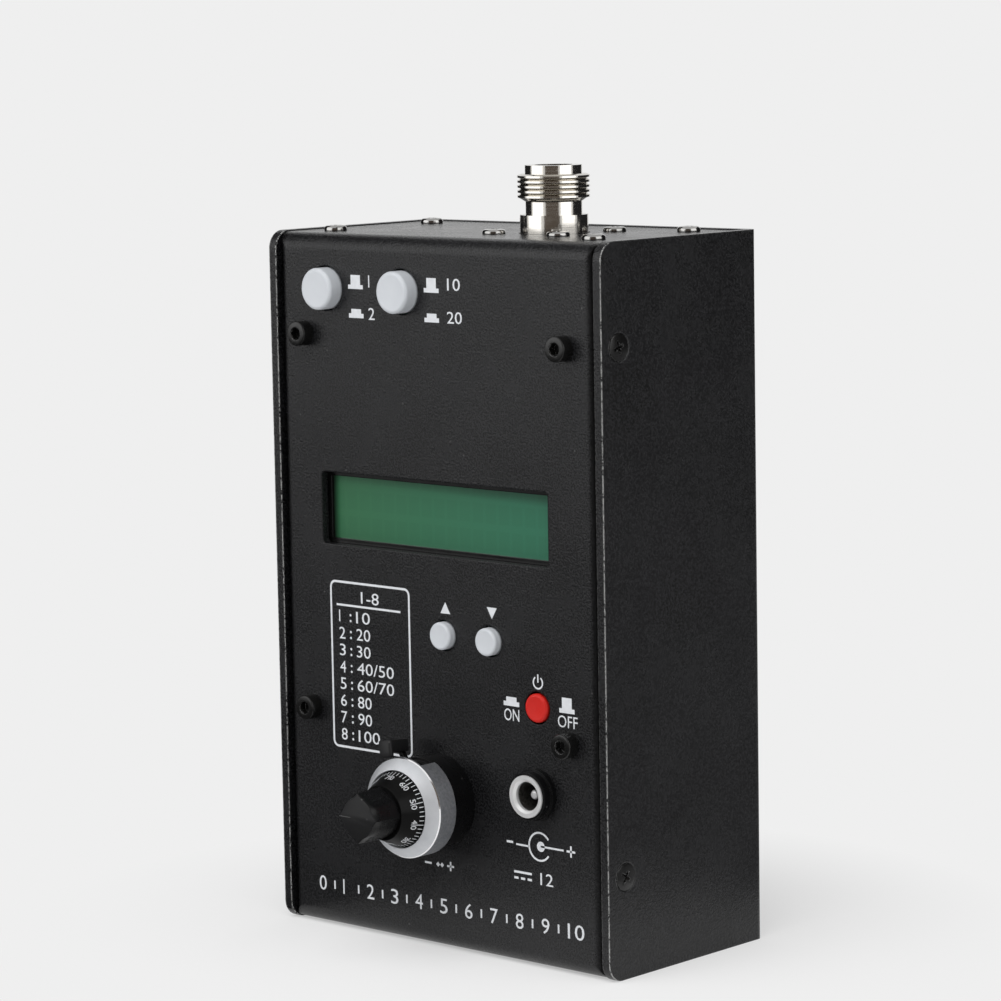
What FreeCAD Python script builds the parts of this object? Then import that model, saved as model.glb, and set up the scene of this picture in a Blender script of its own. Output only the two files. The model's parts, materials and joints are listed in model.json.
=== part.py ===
import FreeCAD, Part
import math
import os

os.makedirs("parts", exist_ok=True)
Vector = FreeCAD.Vector

# Hand-held antenna analyzer: a two-piece folded sheet case with a type N socket on top, a
# two-line display, five push buttons, a DC inlet and a ten-turn tuning dial on the front.
# Millimetres. X runs to the right as the user sees the panel, Y away from the user, Z up.
# The origin is the middle of the case's bottom edge plane.

# ---- Case -----------------------------------------------------------------------------
case_width = 96.0           # over the outer faces of the side plates
case_depth = 51.5           # front edge of a side plate to the outer face of the back
case_height = 154.3         # bottom edge to top edge of a side plate
sheet = 2.0                 # thickness of both folded shells
rim = 0.5                   # side plates stand this far in front of the panel
end_rim = 0.25              # back shell's edges stand this far past the top and bottom plates
shell_gap = 0.2             # gap between the shells at the sides and at the back
front_bend = 3.5            # outer bend radius at the top and bottom of the front panel
side_bend = 2.5             # outer bend radius at the sides of the front panel
back_bend = 2.0             # outer bend radius of the back shell
side_corner = 4.0           # rounded front corners of a side plate
flange_depth = 8.5          # side flange of the front shell, measured from the panel
flange_relief = 6.0         # relief between a side flange and the top or bottom plate
tab_reach = 14.0            # screw tabs of the back shell, inwards from the side plate
tab_set_back = 0.4          # screw tabs clear the front shell's bends by this much
tab_sheet = 2.0             # screw tabs, thickness

# ---- Fasteners ------------------------------------------------------------------------
m3_radius = 1.5
m25_radius = 1.25
hole_clearance = 0.15       # radial, round every screw that passes a plate
thread_gap = 0.04           # radial, between a screw and the thread that it turns in
pan_head_radius = 2.5
pan_head_height = 1.55
low_head_height = 1.0       # pan heads on the socket's flange
recess_width = 0.8          # arm of a cross recess
recess_depth = 1.0
cap_head_radius = 2.7
cap_head_height = 3.0
cap_socket_flats = 2.5
cap_socket_depth = 1.7
sunk_head_radius = 3.0
clinch_nut_radius = 3.0
clinch_nut_height = 1.5
m3_nut_flats = 5.5
m3_nut_height = 2.2
case_screw_reach = 6.0      # shank of a case screw under its head
case_screw_inset_x = 10.5   # from the case's side face
case_screw_inset_y = 10.3   # from the case's front and back
side_screw_reach = 6.0
side_screw_front = 5.6      # from the case's front edge
side_screw_end = 21.8       # from the case's top and bottom edges

# ---- Type N socket --------------------------------------------------------------------
socket_x = 13.0
socket_y = 0.0
flange_square = 25.4
flange_thickness = 3.0
flange_screw_pitch = 18.3
flange_screw_reach = 8.5
socket_base_radius = 7.35
socket_base_height = 3.95
socket_neck_radius = 6.1
socket_neck_height = 2.8
thread_taper = 0.6
thread_radius = 7.8
thread_depth = 0.7
thread_pitch = 1.058
thread_turns = 5
thread_crest = 0.4          # share of the pitch that is flat
socket_tip_radius = 6.15
socket_tip_height = 1.86
socket_bore_radius = 4.05
socket_hole_clearance = 0.4
contact_radius = 1.55
contact_bore_radius = 0.83
contact_bore_depth = 5.0
contact_slot = 0.35
contact_recess = 5.0        # tip of the contact below the rim of the socket
insulator_recess = 9.0      # face of the insulator below the rim of the socket
insulator_tail_radius = 3.0
insulator_tail = 3.0        # insulator below the flange
solder_pin_radius = 0.8
solder_pin = 6.5            # contact's tail below the flange

# ---- Circuit board and its posts ------------------------------------------------------
layout_x = -0.35            # middle of the board and of its posts
board_edge_gap = 1.8        # board to the side flanges
board_thickness = 1.6
board_drop = 7.05           # board's top edge below the inside of the top plate
board_height = 99.4
board_pot_gap = 1.2         # round the potentiometer, where the board reaches down to it
post_length = 17.0          # board's front face behind the panel's inner face
post_flats = 5.5
post_inset = 4.35           # posts in from the board's side edges
post_drop_top = 22.1        # upper posts below the case's top edge
post_drop_bottom = 105.0    # lower posts below the case's top edge
panel_screw_reach = 8.0
board_screw_reach = 5.0

# ---- Display --------------------------------------------------------------------------
display_x = -0.8
display_drop = 60.25        # display's middle below the case's top edge
window_width = 66.2         # cut-out in the front panel
window_height = 15.9
window_corner = 1.0
view_width = 64.5           # opening in the bezel
view_height = 13.8
bezel_width = 71.3
bezel_height = 26.8
bezel_depth = 7.0
bezel_sheet = 0.6
bezel_gap = 0.3             # bezel behind the panel
glass_thickness = 2.8
glass_gap = 0.15            # round the glass and the light guide, inside the bezel
display_board_gap = 3.0     # display board to the nearer side flange
display_hole_inset = 2.5
display_head_gap = 0.2      # screw heads clear the bezel by this much
spacer_radius = 2.4
display_screw_reach = 4.5
small_head_radius = 2.2
small_head_height = 1.5
header_length = 40.6
header_width = 2.5
header_inset = 2.5          # header row below the display board's top edge

# ---- Push buttons ---------------------------------------------------------------------
mode_inset = 16.8           # left button from the case's left side
mode_pitch = 22.6
mode_drop = 12.1
mode_radius = 4.55
mode_proud = 3.3            # cap's face in front of the panel
mode_travel = 2.5
power_inset = 19.5          # from the case's right side
power_drop = 98.15
power_radius = 3.1
power_proud = 0.6           # latched in
up_x = 2.1
down_x = 15.3
step_drop = 85.3
step_radius = 3.0
step_proud = 1.6
button_gap = 0.4            # radial gap between a cap and its hole in the panel
cap_rounding = 0.5
cap_length = 10.0
step_cap_length = 6.0
step_stem_radius = 1.7
switch_square = 7.0
switch_length = 9.0
plunger_square = 3.3
plunger_gap = 0.1           # each side, between a plunger and its switch
plunger_in_cap = 5.0
plunger_in_switch = 4.5
switch_floor = 1.6
tact_square = 6.0
tact_height = 3.5
tact_hole_depth = 1.6
stem_in_tact = 0.5

# ---- Tuning potentiometer -------------------------------------------------------------
dial_x = 0.0
dial_drop = 121.2
pot_radius = 11.0
pot_length = 20.0
pot_wall = 1.6
bushing_radius = 4.76
bushing_length = 7.9        # in front of the potentiometer's face
bushing_hole_clearance = 0.06
shaft_radius = 3.175
shaft_clearance = 0.05      # running fit in the bushing
shaft_front = 22.0          # shaft's end in front of the panel
shaft_inside = 8.0          # shaft's end behind the potentiometer's front wall
dial_nut_flats = 12.7
dial_nut_height = 2.0
stop_pin_radius = 0.9
stop_pin_length = 1.4
stop_pin_offset = 8.0
pot_lead_spacing = 4.0
pot_lead_set_off = 4.5      # leads in front of the board

# ---- Counting dial --------------------------------------------------------------------
housing_radius = 10.2
housing_depth = 6.55
housing_wall = 1.3
housing_floor = 1.5
spigot_length = 1.2
spigot_radius = 9.55
bezel_ring_radius = 10.9
bezel_ring_depth = 5.1
bezel_ring_nose = 2.0
bezel_ring_bore = 9.6
bezel_ring_mouth = 8.35
bezel_ring_lip = 0.7
index_half_angle = 27.0     # the window for the turns figure, each side of the top
counter_radius = 9.25
counter_bore = 6.86
counter_width = 2.8
axial_gap = 0.3
scale_sleeve_radius = 6.8
scale_gap = 0.3             # radial gap between the scale's edge and the ring's mouth
scale_edge = 1.1
scale_edge_set_back = 0.3   # scale's edge behind the front of the ring
scale_rise = 4.9
scale_bore = 5.0
knob_root_radius = 5.9
knob_core_radius = 4.45     # at the knob's face
knob_fin_radius = 5.45      # at the knob's face
knob_front = 25.5           # knob's face in front of the panel
knob_neck_gap = 0.05
knob_bore_gap = 0.03
knob_chamfer = 0.3
knob_fins = 4
fin_half_width = 1.55       # where a fin meets the core
fin_root_radius = 4.2
fin_start = 0.1             # fins begin inside the core by this much
set_screw_radius = 1.2

# ---- Lock lever on the dial -----------------------------------------------------------
lever_angle = -32.0         # at rest, from the top, clockwise as the user sees it
lever_travel = 20.0
lever_bore = 5.1
lever_ring_radius = 8.4
lever_set_off = 4.3         # lever's back face in front of the panel
lever_thickness = 1.2
lever_arm_width = 1.0
lever_arm_end = 13.4
lever_cap_start = 11.9
lever_cap_end = 14.2
lever_cap_width = 3.9
lever_cap_turn = 20.0       # cap stands nearer to upright than its arm
lever_cap_depth = 5.2
lever_cap_wall = 0.4        # cap behind the arm
lever_slot_gap = 0.3

# ---- DC inlet -------------------------------------------------------------------------
inlet_inset = 20.1          # from the case's right side
inlet_drop = 116.6
inlet_radius = 5.1
inlet_flange_radius = 5.55
inlet_flange = 1.2
inlet_proud = 3.2
inlet_length = 10.0         # behind the panel's inner face
inlet_hole_clearance = 0.1
sleeve_radius = 4.53
sleeve_proud = 0.3
sleeve_mouth = 3.65
sleeve_bore = 3.1
sleeve_seat = 0.45          # sleeve's rim let into the inlet's face
sleeve_wall = 0.5
sleeve_length = 11.0
inlet_pin_radius = 1.03
inlet_pin_recess = 2.5      # pin's tip behind the rim
inlet_floor = 1.4
inlet_nut_flats = 13.0
inlet_nut_height = 2.0
inlet_lead_spacing = 3.6
inlet_lead_inset = 2.0      # leads in front of the inlet's rear end
inlet_lead_gap = 1.2        # leads beside the inlet and the power switch

# ---- Wires and parts on the board -----------------------------------------------------
wire_radius = 0.6
wire_bend = 1.6
wire_end_up = 3.0           # solder points above the board's bottom edge
chip_size = (14.0, 4.0, 52.0)
chip_inset = 20.35          # from the board's left edge
chip_drop = 52.0            # drops are from the board's top edge
relay_size = (12.2, 10.0, 7.4)
relay_insets = (13.65, 29.65)       # from the board's right edge
relay_drops = (32.0, 44.0, 56.0)
shield_size = (34.0, 8.0, 22.0)
shield_x = 18.0
shield_drop = 80.0
shield_sheet = 0.5
coil_radius = 4.0
coil_section = 1.8
coil_insets = (10.35, 24.35, 38.35)         # from the board's left edge
coil_drop = 20.0
capacitor_radius = 4.0
capacitor_height = 11.0
capacitor_insets = (8.35, 20.35, 32.35)     # from the board's left edge
capacitor_drop = 88.0
regulator_size = (10.0, 4.4, 9.0)
regulator_tab = (10.0, 1.3, 6.0)
regulator_inset = 13.65     # from the board's right edge
regulator_drop = 17.0

# ---- Places worked out from the sizes above -------------------------------------------
front_face = -case_depth / 2 + rim
front_inner = front_face + sheet
back_inner = case_depth / 2 - sheet
side_inner = case_width / 2 - sheet
top_face = case_height - end_rim
top_inner = top_face - sheet
bottom_face = end_rim
bottom_inner = bottom_face + sheet
shell_side = side_inner - shell_gap
shell_back = back_inner - shell_gap

board_front = front_inner + post_length
board_back = board_front + board_thickness
board_top = top_inner - board_drop
board_bottom = board_top - board_height
board_half = shell_side - sheet - board_edge_gap
board_left = layout_x - board_half
board_right = layout_x + board_half
post_half = board_half - post_inset

bezel_front = front_inner + bezel_gap
display_board_front = bezel_front + bezel_depth
display_board_back = display_board_front + board_thickness
display_z = case_height - display_drop
display_board_half = shell_side - sheet - abs(display_x) - display_board_gap
display_hole_rise = bezel_height / 2 + display_head_gap + small_head_radius

mode_left_x = -case_width / 2 + mode_inset
mode_right_x = mode_left_x + mode_pitch
power_x = case_width / 2 - power_inset
inlet_x = case_width / 2 - inlet_inset
mode_z = case_height - mode_drop
power_z = case_height - power_drop
step_z = case_height - step_drop
dial_z = case_height - dial_drop
inlet_z = case_height - inlet_drop
solder_z = max(board_bottom, dial_z + pot_radius + board_pot_gap) + wire_end_up

switch_front = board_front - switch_length
tact_front = board_front - tact_height

housing_front = front_face - housing_depth
spigot_front = housing_front - spigot_length
ring_edge = housing_front - bezel_ring_depth
ring_front = ring_edge - bezel_ring_nose
counter_back = spigot_front - axial_gap
counter_front = counter_back - counter_width
scale_edge_front = ring_front + scale_edge_set_back
scale_front = scale_edge_front - scale_rise
knob_face = front_face - knob_front
nut_front = front_face - housing_floor - dial_nut_height
lever_back = front_face - lever_set_off
lever_front = lever_back - lever_thickness

socket_top = (top_face + socket_base_height + socket_neck_height + thread_taper
              + thread_turns * thread_pitch + socket_tip_height)
flange_bottom = top_inner - flange_thickness


# ---- Shape helpers --------------------------------------------------------------------
def block(x0, x1, y0, y1, z0, z1):
    corner = Vector(min(x0, x1), min(y0, y1), min(z0, z1))
    return Part.makeBox(abs(x1 - x0), abs(y1 - y0), abs(z1 - z0), corner)


def rod_x(y, z, radius, x0, x1):
    return Part.makeCylinder(radius, abs(x1 - x0), Vector(min(x0, x1), y, z), Vector(1, 0, 0))


def rod_y(x, z, radius, y0, y1):
    return Part.makeCylinder(radius, abs(y1 - y0), Vector(x, min(y0, y1), z), Vector(0, 1, 0))


def rod_z(x, y, radius, z0, z1):
    return Part.makeCylinder(radius, abs(z1 - z0), Vector(x, y, min(z0, z1)), Vector(0, 0, 1))


def turned_y(outline, x, z):
    """Turn an outline of (radius, y) points about the line through x, z along Y."""
    points = [Vector(x + radius, y, z) for radius, y in outline]
    face = Part.Face(Part.makePolygon(points + points[:1]))
    return face.revolve(Vector(x, 0, z), Vector(0, 1, 0), 360)


def turned_z(outline, x, y):
    """Turn an outline of (radius, z) points about the line through x, y along Z."""
    points = [Vector(x + radius, y, z) for radius, z in outline]
    face = Part.Face(Part.makePolygon(points + points[:1]))
    return face.revolve(Vector(x, y, 0), Vector(0, 0, 1), 360)


def hexagon_y(x, z, flats, y0, y1):
    corner = flats / math.sqrt(3)
    turns = [math.radians(60 * i) for i in range(6)]
    points = [Vector(x + corner * math.cos(t), min(y0, y1), z + corner * math.sin(t)) for t in turns]
    face = Part.Face(Part.makePolygon(points + points[:1]))
    return face.extrude(Vector(0, abs(y1 - y0), 0))


def hexagon_z(x, y, flats, z0, z1):
    corner = flats / math.sqrt(3)
    turns = [math.radians(60 * i) for i in range(6)]
    points = [Vector(x + corner * math.cos(t), y + corner * math.sin(t), min(z0, z1)) for t in turns]
    face = Part.Face(Part.makePolygon(points + points[:1]))
    return face.extrude(Vector(0, 0, abs(z1 - z0)))


def rounded_face(corners, radii, place):
    """A flat face with rounded corners; place turns a pair (u, v) into a point."""
    count = len(corners)
    edges = []
    ends = []
    for i in range(count):
        here = Vector(corners[i][0], corners[i][1], 0)
        back = (Vector(corners[i - 1][0], corners[i - 1][1], 0) - here).normalize()
        ahead = (Vector(corners[(i + 1) % count][0], corners[(i + 1) % count][1], 0) - here).normalize()
        half = back.getAngle(ahead) / 2
        reach = radii[i] / math.tan(half)
        start = here + back * reach
        end = here + ahead * reach
        ends.append((start, end))
        if radii[i] > 0:
            middle = here + (back + ahead).normalize() * (radii[i] / math.sin(half) - radii[i])
            arc = Part.Arc(place(start.x, start.y), place(middle.x, middle.y), place(end.x, end.y))
            edges.append(arc.toShape())
    for i in range(count):
        leave = ends[i][1]
        meet = ends[(i + 1) % count][0]
        edges.append(Part.LineSegment(place(leave.x, leave.y), place(meet.x, meet.y)).toShape())
    return Part.Face(Part.Wire(Part.__sortEdges__(edges)))


def in_plan(u, v):
    return Vector(u, v, 0)


def in_side_view(u, v):
    return Vector(0, u, v)


def in_front_view(u, v):
    return Vector(u, 0, v)


def wedge_y(radius, angle0, angle1, y0, y1):
    """A slice about the dial's axis; angles from the top, clockwise as the user sees it."""
    steps = 8
    points = [Vector(dial_x, min(y0, y1), dial_z)]
    for i in range(steps + 1):
        turn = math.radians(angle0 + (angle1 - angle0) * i / steps)
        points.append(Vector(dial_x + radius * math.sin(turn), min(y0, y1), dial_z + radius * math.cos(turn)))
    face = Part.Face(Part.makePolygon(points + points[:1]))
    return face.extrude(Vector(0, abs(y1 - y0), 0))


def about_dial(shape, angle):
    """Turn a shape about the dial's axis, clockwise as the user sees it."""
    turned = shape.copy()
    turned.rotate(Vector(dial_x, 0, dial_z), Vector(0, 1, 0), angle)
    return turned


def cut_all(shape, tools):
    for tool in tools:
        shape = shape.cut(tool)
    return shape


def save(name, shapes):
    solids = []
    for shape in shapes:
        solids.extend(shape.Solids)
    whole = solids[0] if len(solids) == 1 else Part.makeCompound(solids)
    whole.exportStep("parts/" + name + ".step")
    print(name, len(solids), round(sum(solid.Volume for solid in solids), 1))


# ---- Patterns that more than one piece follows ----------------------------------------
def case_screw_places():
    x = case_width / 2 - case_screw_inset_x
    y = case_depth / 2 - case_screw_inset_y
    return [(-x, -y), (x, -y), (-x, y), (x, y)]


def side_screw_places():
    y = -case_depth / 2 + side_screw_front
    return [(y, side_screw_end), (y, case_height - side_screw_end)]


def flange_screw_places():
    half = flange_screw_pitch / 2
    return [(socket_x + i * half, socket_y + j * half) for i in (-1, 1) for j in (-1, 1)]


def post_places():
    heights = (case_height - post_drop_top, case_height - post_drop_bottom)
    return [(layout_x + i * post_half, z) for i in (-1, 1) for z in heights]


def display_hole_places():
    x = display_board_half - display_hole_inset
    return [(display_x + i * x, display_z + j * display_hole_rise) for i in (-1, 1) for j in (-1, 1)]


# ---- Case -----------------------------------------------------------------------------
def make_front_shell():
    side = rounded_face(
        [(front_face, bottom_face), (shell_back, bottom_face),
         (shell_back, top_face), (front_face, top_face)],
        [front_bend, 0, 0, front_bend], in_side_view)
    plan = rounded_face(
        [(-shell_side, front_face), (shell_side, front_face),
         (shell_side, shell_back), (-shell_side, shell_back)],
        [side_bend, side_bend, 0, 0], in_plan)
    wide = side.extrude(Vector(case_width, 0, 0))
    wide.translate(Vector(-case_width / 2, 0, 0))
    tall = plan.extrude(Vector(0, 0, case_height))
    shell = wide.common(tall)

    inner_bend = max(front_bend - sheet, 0.1)
    hollow_side = rounded_face(
        [(front_inner, bottom_inner), (case_depth, bottom_inner),
         (case_depth, top_inner), (front_inner, top_inner)],
        [inner_bend, 0, 0, inner_bend], in_side_view)
    middle = hollow_side.extrude(Vector(2 * (shell_side - sheet), 0, 0))
    middle.translate(Vector(-(shell_side - sheet), 0, 0))
    across = hollow_side.extrude(Vector(2 * case_width, 0, 0))
    across.translate(Vector(-case_width, 0, 0))
    flange_end = front_face + flange_depth
    low = bottom_inner + flange_relief
    high = top_inner - flange_relief
    behind = across.common(block(-case_width, case_width, flange_end, case_depth, bottom_inner, top_inner))
    below = across.common(block(-case_width, case_width, front_inner, case_depth, bottom_inner, low))
    above = across.common(block(-case_width, case_width, front_inner, case_depth, high, top_inner))
    shell = cut_all(shell, [middle, behind, below, above])
    return cut_all(shell, front_shell_holes())


def front_shell_holes():
    y0 = front_face - sheet
    y1 = front_inner + sheet
    holes = []
    for x in (mode_left_x, mode_right_x):
        holes.append(rod_y(x, mode_z, mode_radius + button_gap, y0, y1))
    for x in (up_x, down_x):
        holes.append(rod_y(x, step_z, step_radius + button_gap, y0, y1))
    holes.append(rod_y(power_x, power_z, power_radius + button_gap, y0, y1))
    holes.append(rod_y(inlet_x, inlet_z, inlet_radius + inlet_hole_clearance, y0, y1))
    holes.append(rod_y(dial_x, dial_z, bushing_radius + bushing_hole_clearance, y0, y1))
    holes.append(rod_y(dial_x + stop_pin_offset, dial_z, stop_pin_radius + hole_clearance, y0, y1))
    for x, z in post_places():
        holes.append(rod_y(x, z, m3_radius + hole_clearance, y0, y1))
    half_w = window_width / 2
    half_h = window_height / 2
    window = rounded_face(
        [(display_x - half_w, display_z - half_h), (display_x + half_w, display_z - half_h),
         (display_x + half_w, display_z + half_h), (display_x - half_w, display_z + half_h)],
        [window_corner] * 4, in_front_view).extrude(Vector(0, y1 - y0, 0))
    window.translate(Vector(0, y0, 0))
    holes.append(window)
    for x, y in case_screw_places():
        holes.append(rod_z(x, y, m3_radius + hole_clearance, -sheet, bottom_inner + sheet))
        holes.append(rod_z(x, y, m3_radius + hole_clearance, top_inner - sheet, case_height + sheet))
    for x, y in flange_screw_places():
        holes.append(rod_z(x, y, m3_radius + hole_clearance, top_inner - sheet, case_height + sheet))
    socket_hole = socket_base_radius + socket_hole_clearance
    holes.append(rod_z(socket_x, socket_y, socket_hole, top_inner - sheet, case_height + sheet))
    for y, z in side_screw_places():
        holes.append(rod_x(y, z, m3_radius + hole_clearance, -case_width / 2, case_width / 2))
    return holes


def make_back_shell():
    front = -case_depth / 2
    back = case_depth / 2
    side = case_width / 2
    plan_outer = rounded_face(
        [(-side, front), (side, front), (side, back), (-side, back)], [0, 0, back_bend, back_bend], in_plan)
    inner_bend = max(back_bend - sheet, 0.2)
    plan_inner = rounded_face(
        [(-side_inner, front - sheet), (side_inner, front - sheet), (side_inner, back_inner),
         (-side_inner, back_inner)], [0, 0, inner_bend, inner_bend], in_plan)
    folded = plan_outer.cut(plan_inner).extrude(Vector(0, 0, case_height))
    side_view = rounded_face(
        [(front, 0), (back, 0), (back, case_height), (front, case_height)],
        [side_corner, 0, 0, side_corner], in_side_view).extrude(Vector(case_width, 0, 0))
    side_view.translate(Vector(-side, 0, 0))
    shell = folded.common(side_view)
    tab_front = front_inner + max(front_bend - sheet, 0.1) + tab_set_back
    for i in (-1, 1):
        for z in (bottom_inner, top_inner - tab_sheet):
            tab = block(i * (side_inner + sheet / 2), i * (side_inner - tab_reach),
                        tab_front, -tab_front, z, z + tab_sheet)
            shell = shell.fuse(tab)
    shell = shell.removeSplitter()
    holes = []
    for x, y in case_screw_places():
        holes.append(rod_z(x, y, m3_radius + hole_clearance, sheet, bottom_inner + tab_sheet + sheet))
        holes.append(rod_z(x, y, m3_radius + hole_clearance, top_inner - tab_sheet - sheet, top_face))
    for y, z in side_screw_places():
        for i in (-1, 1):
            holes.append(rod_x(y, z, m3_radius + hole_clearance,
                               i * (side + sheet), i * (side_inner - sheet)))
            holes.append(side_sunk_cone(i, y, z, hole_clearance))
    return cut_all(shell, holes)


def side_sunk_cone(i, y, z, gap):
    depth = sunk_head_radius - m3_radius
    tip = Vector(i * (case_width / 2 - depth), y, z)
    return Part.makeCone(m3_radius + gap, sunk_head_radius + gap, depth, tip, Vector(i, 0, 0))


def pan_screw_z(x, y, seat, direction, radius, head_radius, head_height, reach):
    """Pan-head screw seated on a level plate; direction is where its head points, up or down."""
    top = seat + direction * head_height
    head = rod_z(x, y, head_radius, seat, top)
    shank = rod_z(x, y, radius, seat, seat - direction * reach)
    screw = head.fuse(shank).removeSplitter()
    rounding = min(head_height, head_radius) * 0.45
    rim_edges = [edge for edge in screw.Edges
                 if abs(edge.BoundBox.ZMin - top) < 1e-6 and abs(edge.BoundBox.ZMax - top) < 1e-6]
    screw = screw.makeFillet(rounding, rim_edges)
    arm = head_radius * 0.55
    low = top - direction * recess_depth
    half = recess_width / 2
    return cut_all(screw, [block(x - arm, x + arm, y - half, y + half, low, top + direction),
                           block(x - half, x + half, y - arm, y + arm, low, top + direction)])


def make_case_screws():
    screws = []
    for x, y in case_screw_places():
        for seat, direction in ((top_face, 1), (bottom_face, -1)):
            screws.append(pan_screw_z(x, y, seat, direction, m3_radius, pan_head_radius,
                                      case_head(direction), case_screw_reach))
    return screws


def case_head(direction):
    """The bottom screws have flat heads, so that the case's edges carry it."""
    return pan_head_height if direction > 0 else end_rim - 0.05


def make_side_screws():
    screws = []
    for y, z in side_screw_places():
        for i in (-1, 1):
            outer = i * case_width / 2
            shank = rod_x(y, z, m3_radius, outer - i * 1.0, outer - i * side_screw_reach)
            screw = side_sunk_cone(i, y, z, 0).fuse(shank).removeSplitter()
            arm = sunk_head_radius * 0.5
            half = recess_width / 2
            x0 = outer + i
            x1 = outer - i * recess_depth
            screws.append(cut_all(screw, [block(x0, x1, y - arm, y + arm, z - half, z + half),
                                          block(x0, x1, y - half, y + half, z - arm, z + arm)]))
    return screws


def make_clinch_nuts():
    nuts = []
    bore = m3_radius + thread_gap
    for x, y in case_screw_places():
        for z, direction in ((bottom_inner + tab_sheet, 1), (top_inner - tab_sheet, -1)):
            far = z + direction * clinch_nut_height
            nuts.append(rod_z(x, y, clinch_nut_radius, z, far).cut(rod_z(x, y, bore, z, far)))
    face = shell_side - sheet
    for y, z in side_screw_places():
        for i in (-1, 1):
            near = i * face
            far = i * (face - clinch_nut_height)
            nuts.append(rod_x(y, z, clinch_nut_radius, near, far).cut(rod_x(y, z, bore, near, far)))
    return nuts


# ---- Type N socket --------------------------------------------------------------------
def make_socket_body():
    z = top_face + socket_base_height
    outline = [(socket_bore_radius, flange_bottom), (socket_base_radius, flange_bottom)]
    outline += [(socket_base_radius, z), (socket_neck_radius, z)]
    z += socket_neck_height
    outline += [(socket_neck_radius, z)]
    z += thread_taper
    root = thread_radius - thread_depth
    crest = thread_pitch * thread_crest
    for i in range(thread_turns):
        base = z + i * thread_pitch
        outline += [(root, base), (thread_radius, base + thread_pitch / 2 - crest / 2),
                    (thread_radius, base + thread_pitch / 2 + crest / 2)]
    z += thread_turns * thread_pitch
    outline += [(root, z), (socket_tip_radius, z), (socket_tip_radius, socket_top),
                (socket_bore_radius, socket_top)]
    barrel = turned_z(outline, socket_x, socket_y)
    half = flange_square / 2
    flange = block(socket_x - half, socket_x + half, socket_y - half, socket_y + half,
                   flange_bottom, top_inner)
    flange = flange.cut(rod_z(socket_x, socket_y, socket_bore_radius, flange_bottom, top_inner))
    body = barrel.fuse(flange).removeSplitter()
    holes = [rod_z(x, y, m3_radius + thread_gap, flange_bottom - 1, top_inner + 1)
             for x, y in flange_screw_places()]
    return cut_all(body, holes)


def make_socket_insulator():
    face = socket_top - insulator_recess
    bead = rod_z(socket_x, socket_y, socket_bore_radius, flange_bottom, face)
    tail = rod_z(socket_x, socket_y, insulator_tail_radius, flange_bottom - insulator_tail, flange_bottom)
    bore = rod_z(socket_x, socket_y, contact_radius, flange_bottom, face)
    tail_bore = rod_z(socket_x, socket_y, solder_pin_radius, flange_bottom - insulator_tail, flange_bottom)
    return cut_all(bead.fuse(tail).removeSplitter(), [bore, tail_bore])


def make_socket_contact():
    tip = socket_top - contact_recess
    contact = rod_z(socket_x, socket_y, contact_radius, flange_bottom, tip)
    pin = rod_z(socket_x, socket_y, solder_pin_radius, flange_bottom - solder_pin, flange_bottom)
    contact = contact.fuse(pin).removeSplitter()
    low = tip - contact_bore_depth
    half = contact_slot / 2
    reach = contact_radius * 2
    slots = [block(socket_x - reach, socket_x + reach, socket_y - half, socket_y + half, low, tip + 1),
             block(socket_x - half, socket_x + half, socket_y - reach, socket_y + reach, low, tip + 1)]
    return cut_all(contact, [rod_z(socket_x, socket_y, contact_bore_radius, low, tip + 1)] + slots)


def make_flange_screws():
    return [pan_screw_z(x, y, top_face, 1, m3_radius, pan_head_radius, low_head_height, flange_screw_reach)
            for x, y in flange_screw_places()]


def make_flange_nuts():
    nuts = []
    low = flange_bottom - m3_nut_height
    for x, y in flange_screw_places():
        nut = hexagon_z(x, y, m3_nut_flats, low, flange_bottom)
        nuts.append(nut.cut(rod_z(x, y, m3_radius + thread_gap, low, flange_bottom)))
    return nuts


def make_antenna_lead():
    """Stiff wire from the socket's solder pin down and forward to the back of the board."""
    start = flange_bottom - solder_pin
    run = socket_y - board_back
    bend = min(wire_bend, 0.8 * run)
    level = start - 2 * bend - 2
    return wire_run([Vector(socket_x, socket_y, start), Vector(socket_x, socket_y, level),
                     Vector(socket_x, board_back, level)], bend)


def wire_run(points, bend):
    """Round wire along straight runs that meet at right angles, with an arc at each corner."""
    edges = []
    start = points[0]
    for corner, after in zip(points[1:], points[2:]):
        back = (start - corner).normalize()
        ahead = (after - corner).normalize()
        leave = corner + back * bend
        meet = corner + ahead * bend
        middle = corner + (back + ahead) * bend - (back + ahead).normalize() * bend
        edges.append(Part.LineSegment(start, leave).toShape())
        edges.append(Part.Arc(leave, middle, meet).toShape())
        start = meet
    edges.append(Part.LineSegment(start, points[-1]).toShape())
    section = Part.Wire([Part.Circle(points[0], points[1] - points[0], wire_radius).toShape()])
    return Part.Wire(edges).makePipeShell([section], True, True)


# ---- Board, posts and display ---------------------------------------------------------
def make_main_board():
    board = block(layout_x - board_half, layout_x + board_half, board_front, board_back,
                  board_bottom, board_top)
    board = cut_all(board, [rod_y(x, z, m3_radius + hole_clearance, board_front - 1, board_back + 1)
                            for x, z in post_places()])
    return board.cut(rod_y(dial_x, dial_z, pot_radius + board_pot_gap, board_front - 1, board_back + 1))


def make_posts():
    posts = []
    for x, z in post_places():
        post = hexagon_y(x, z, post_flats, front_inner, board_front)
        posts.append(post.cut(rod_y(x, z, m3_radius + thread_gap, front_inner, board_front)))
    return posts


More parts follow.
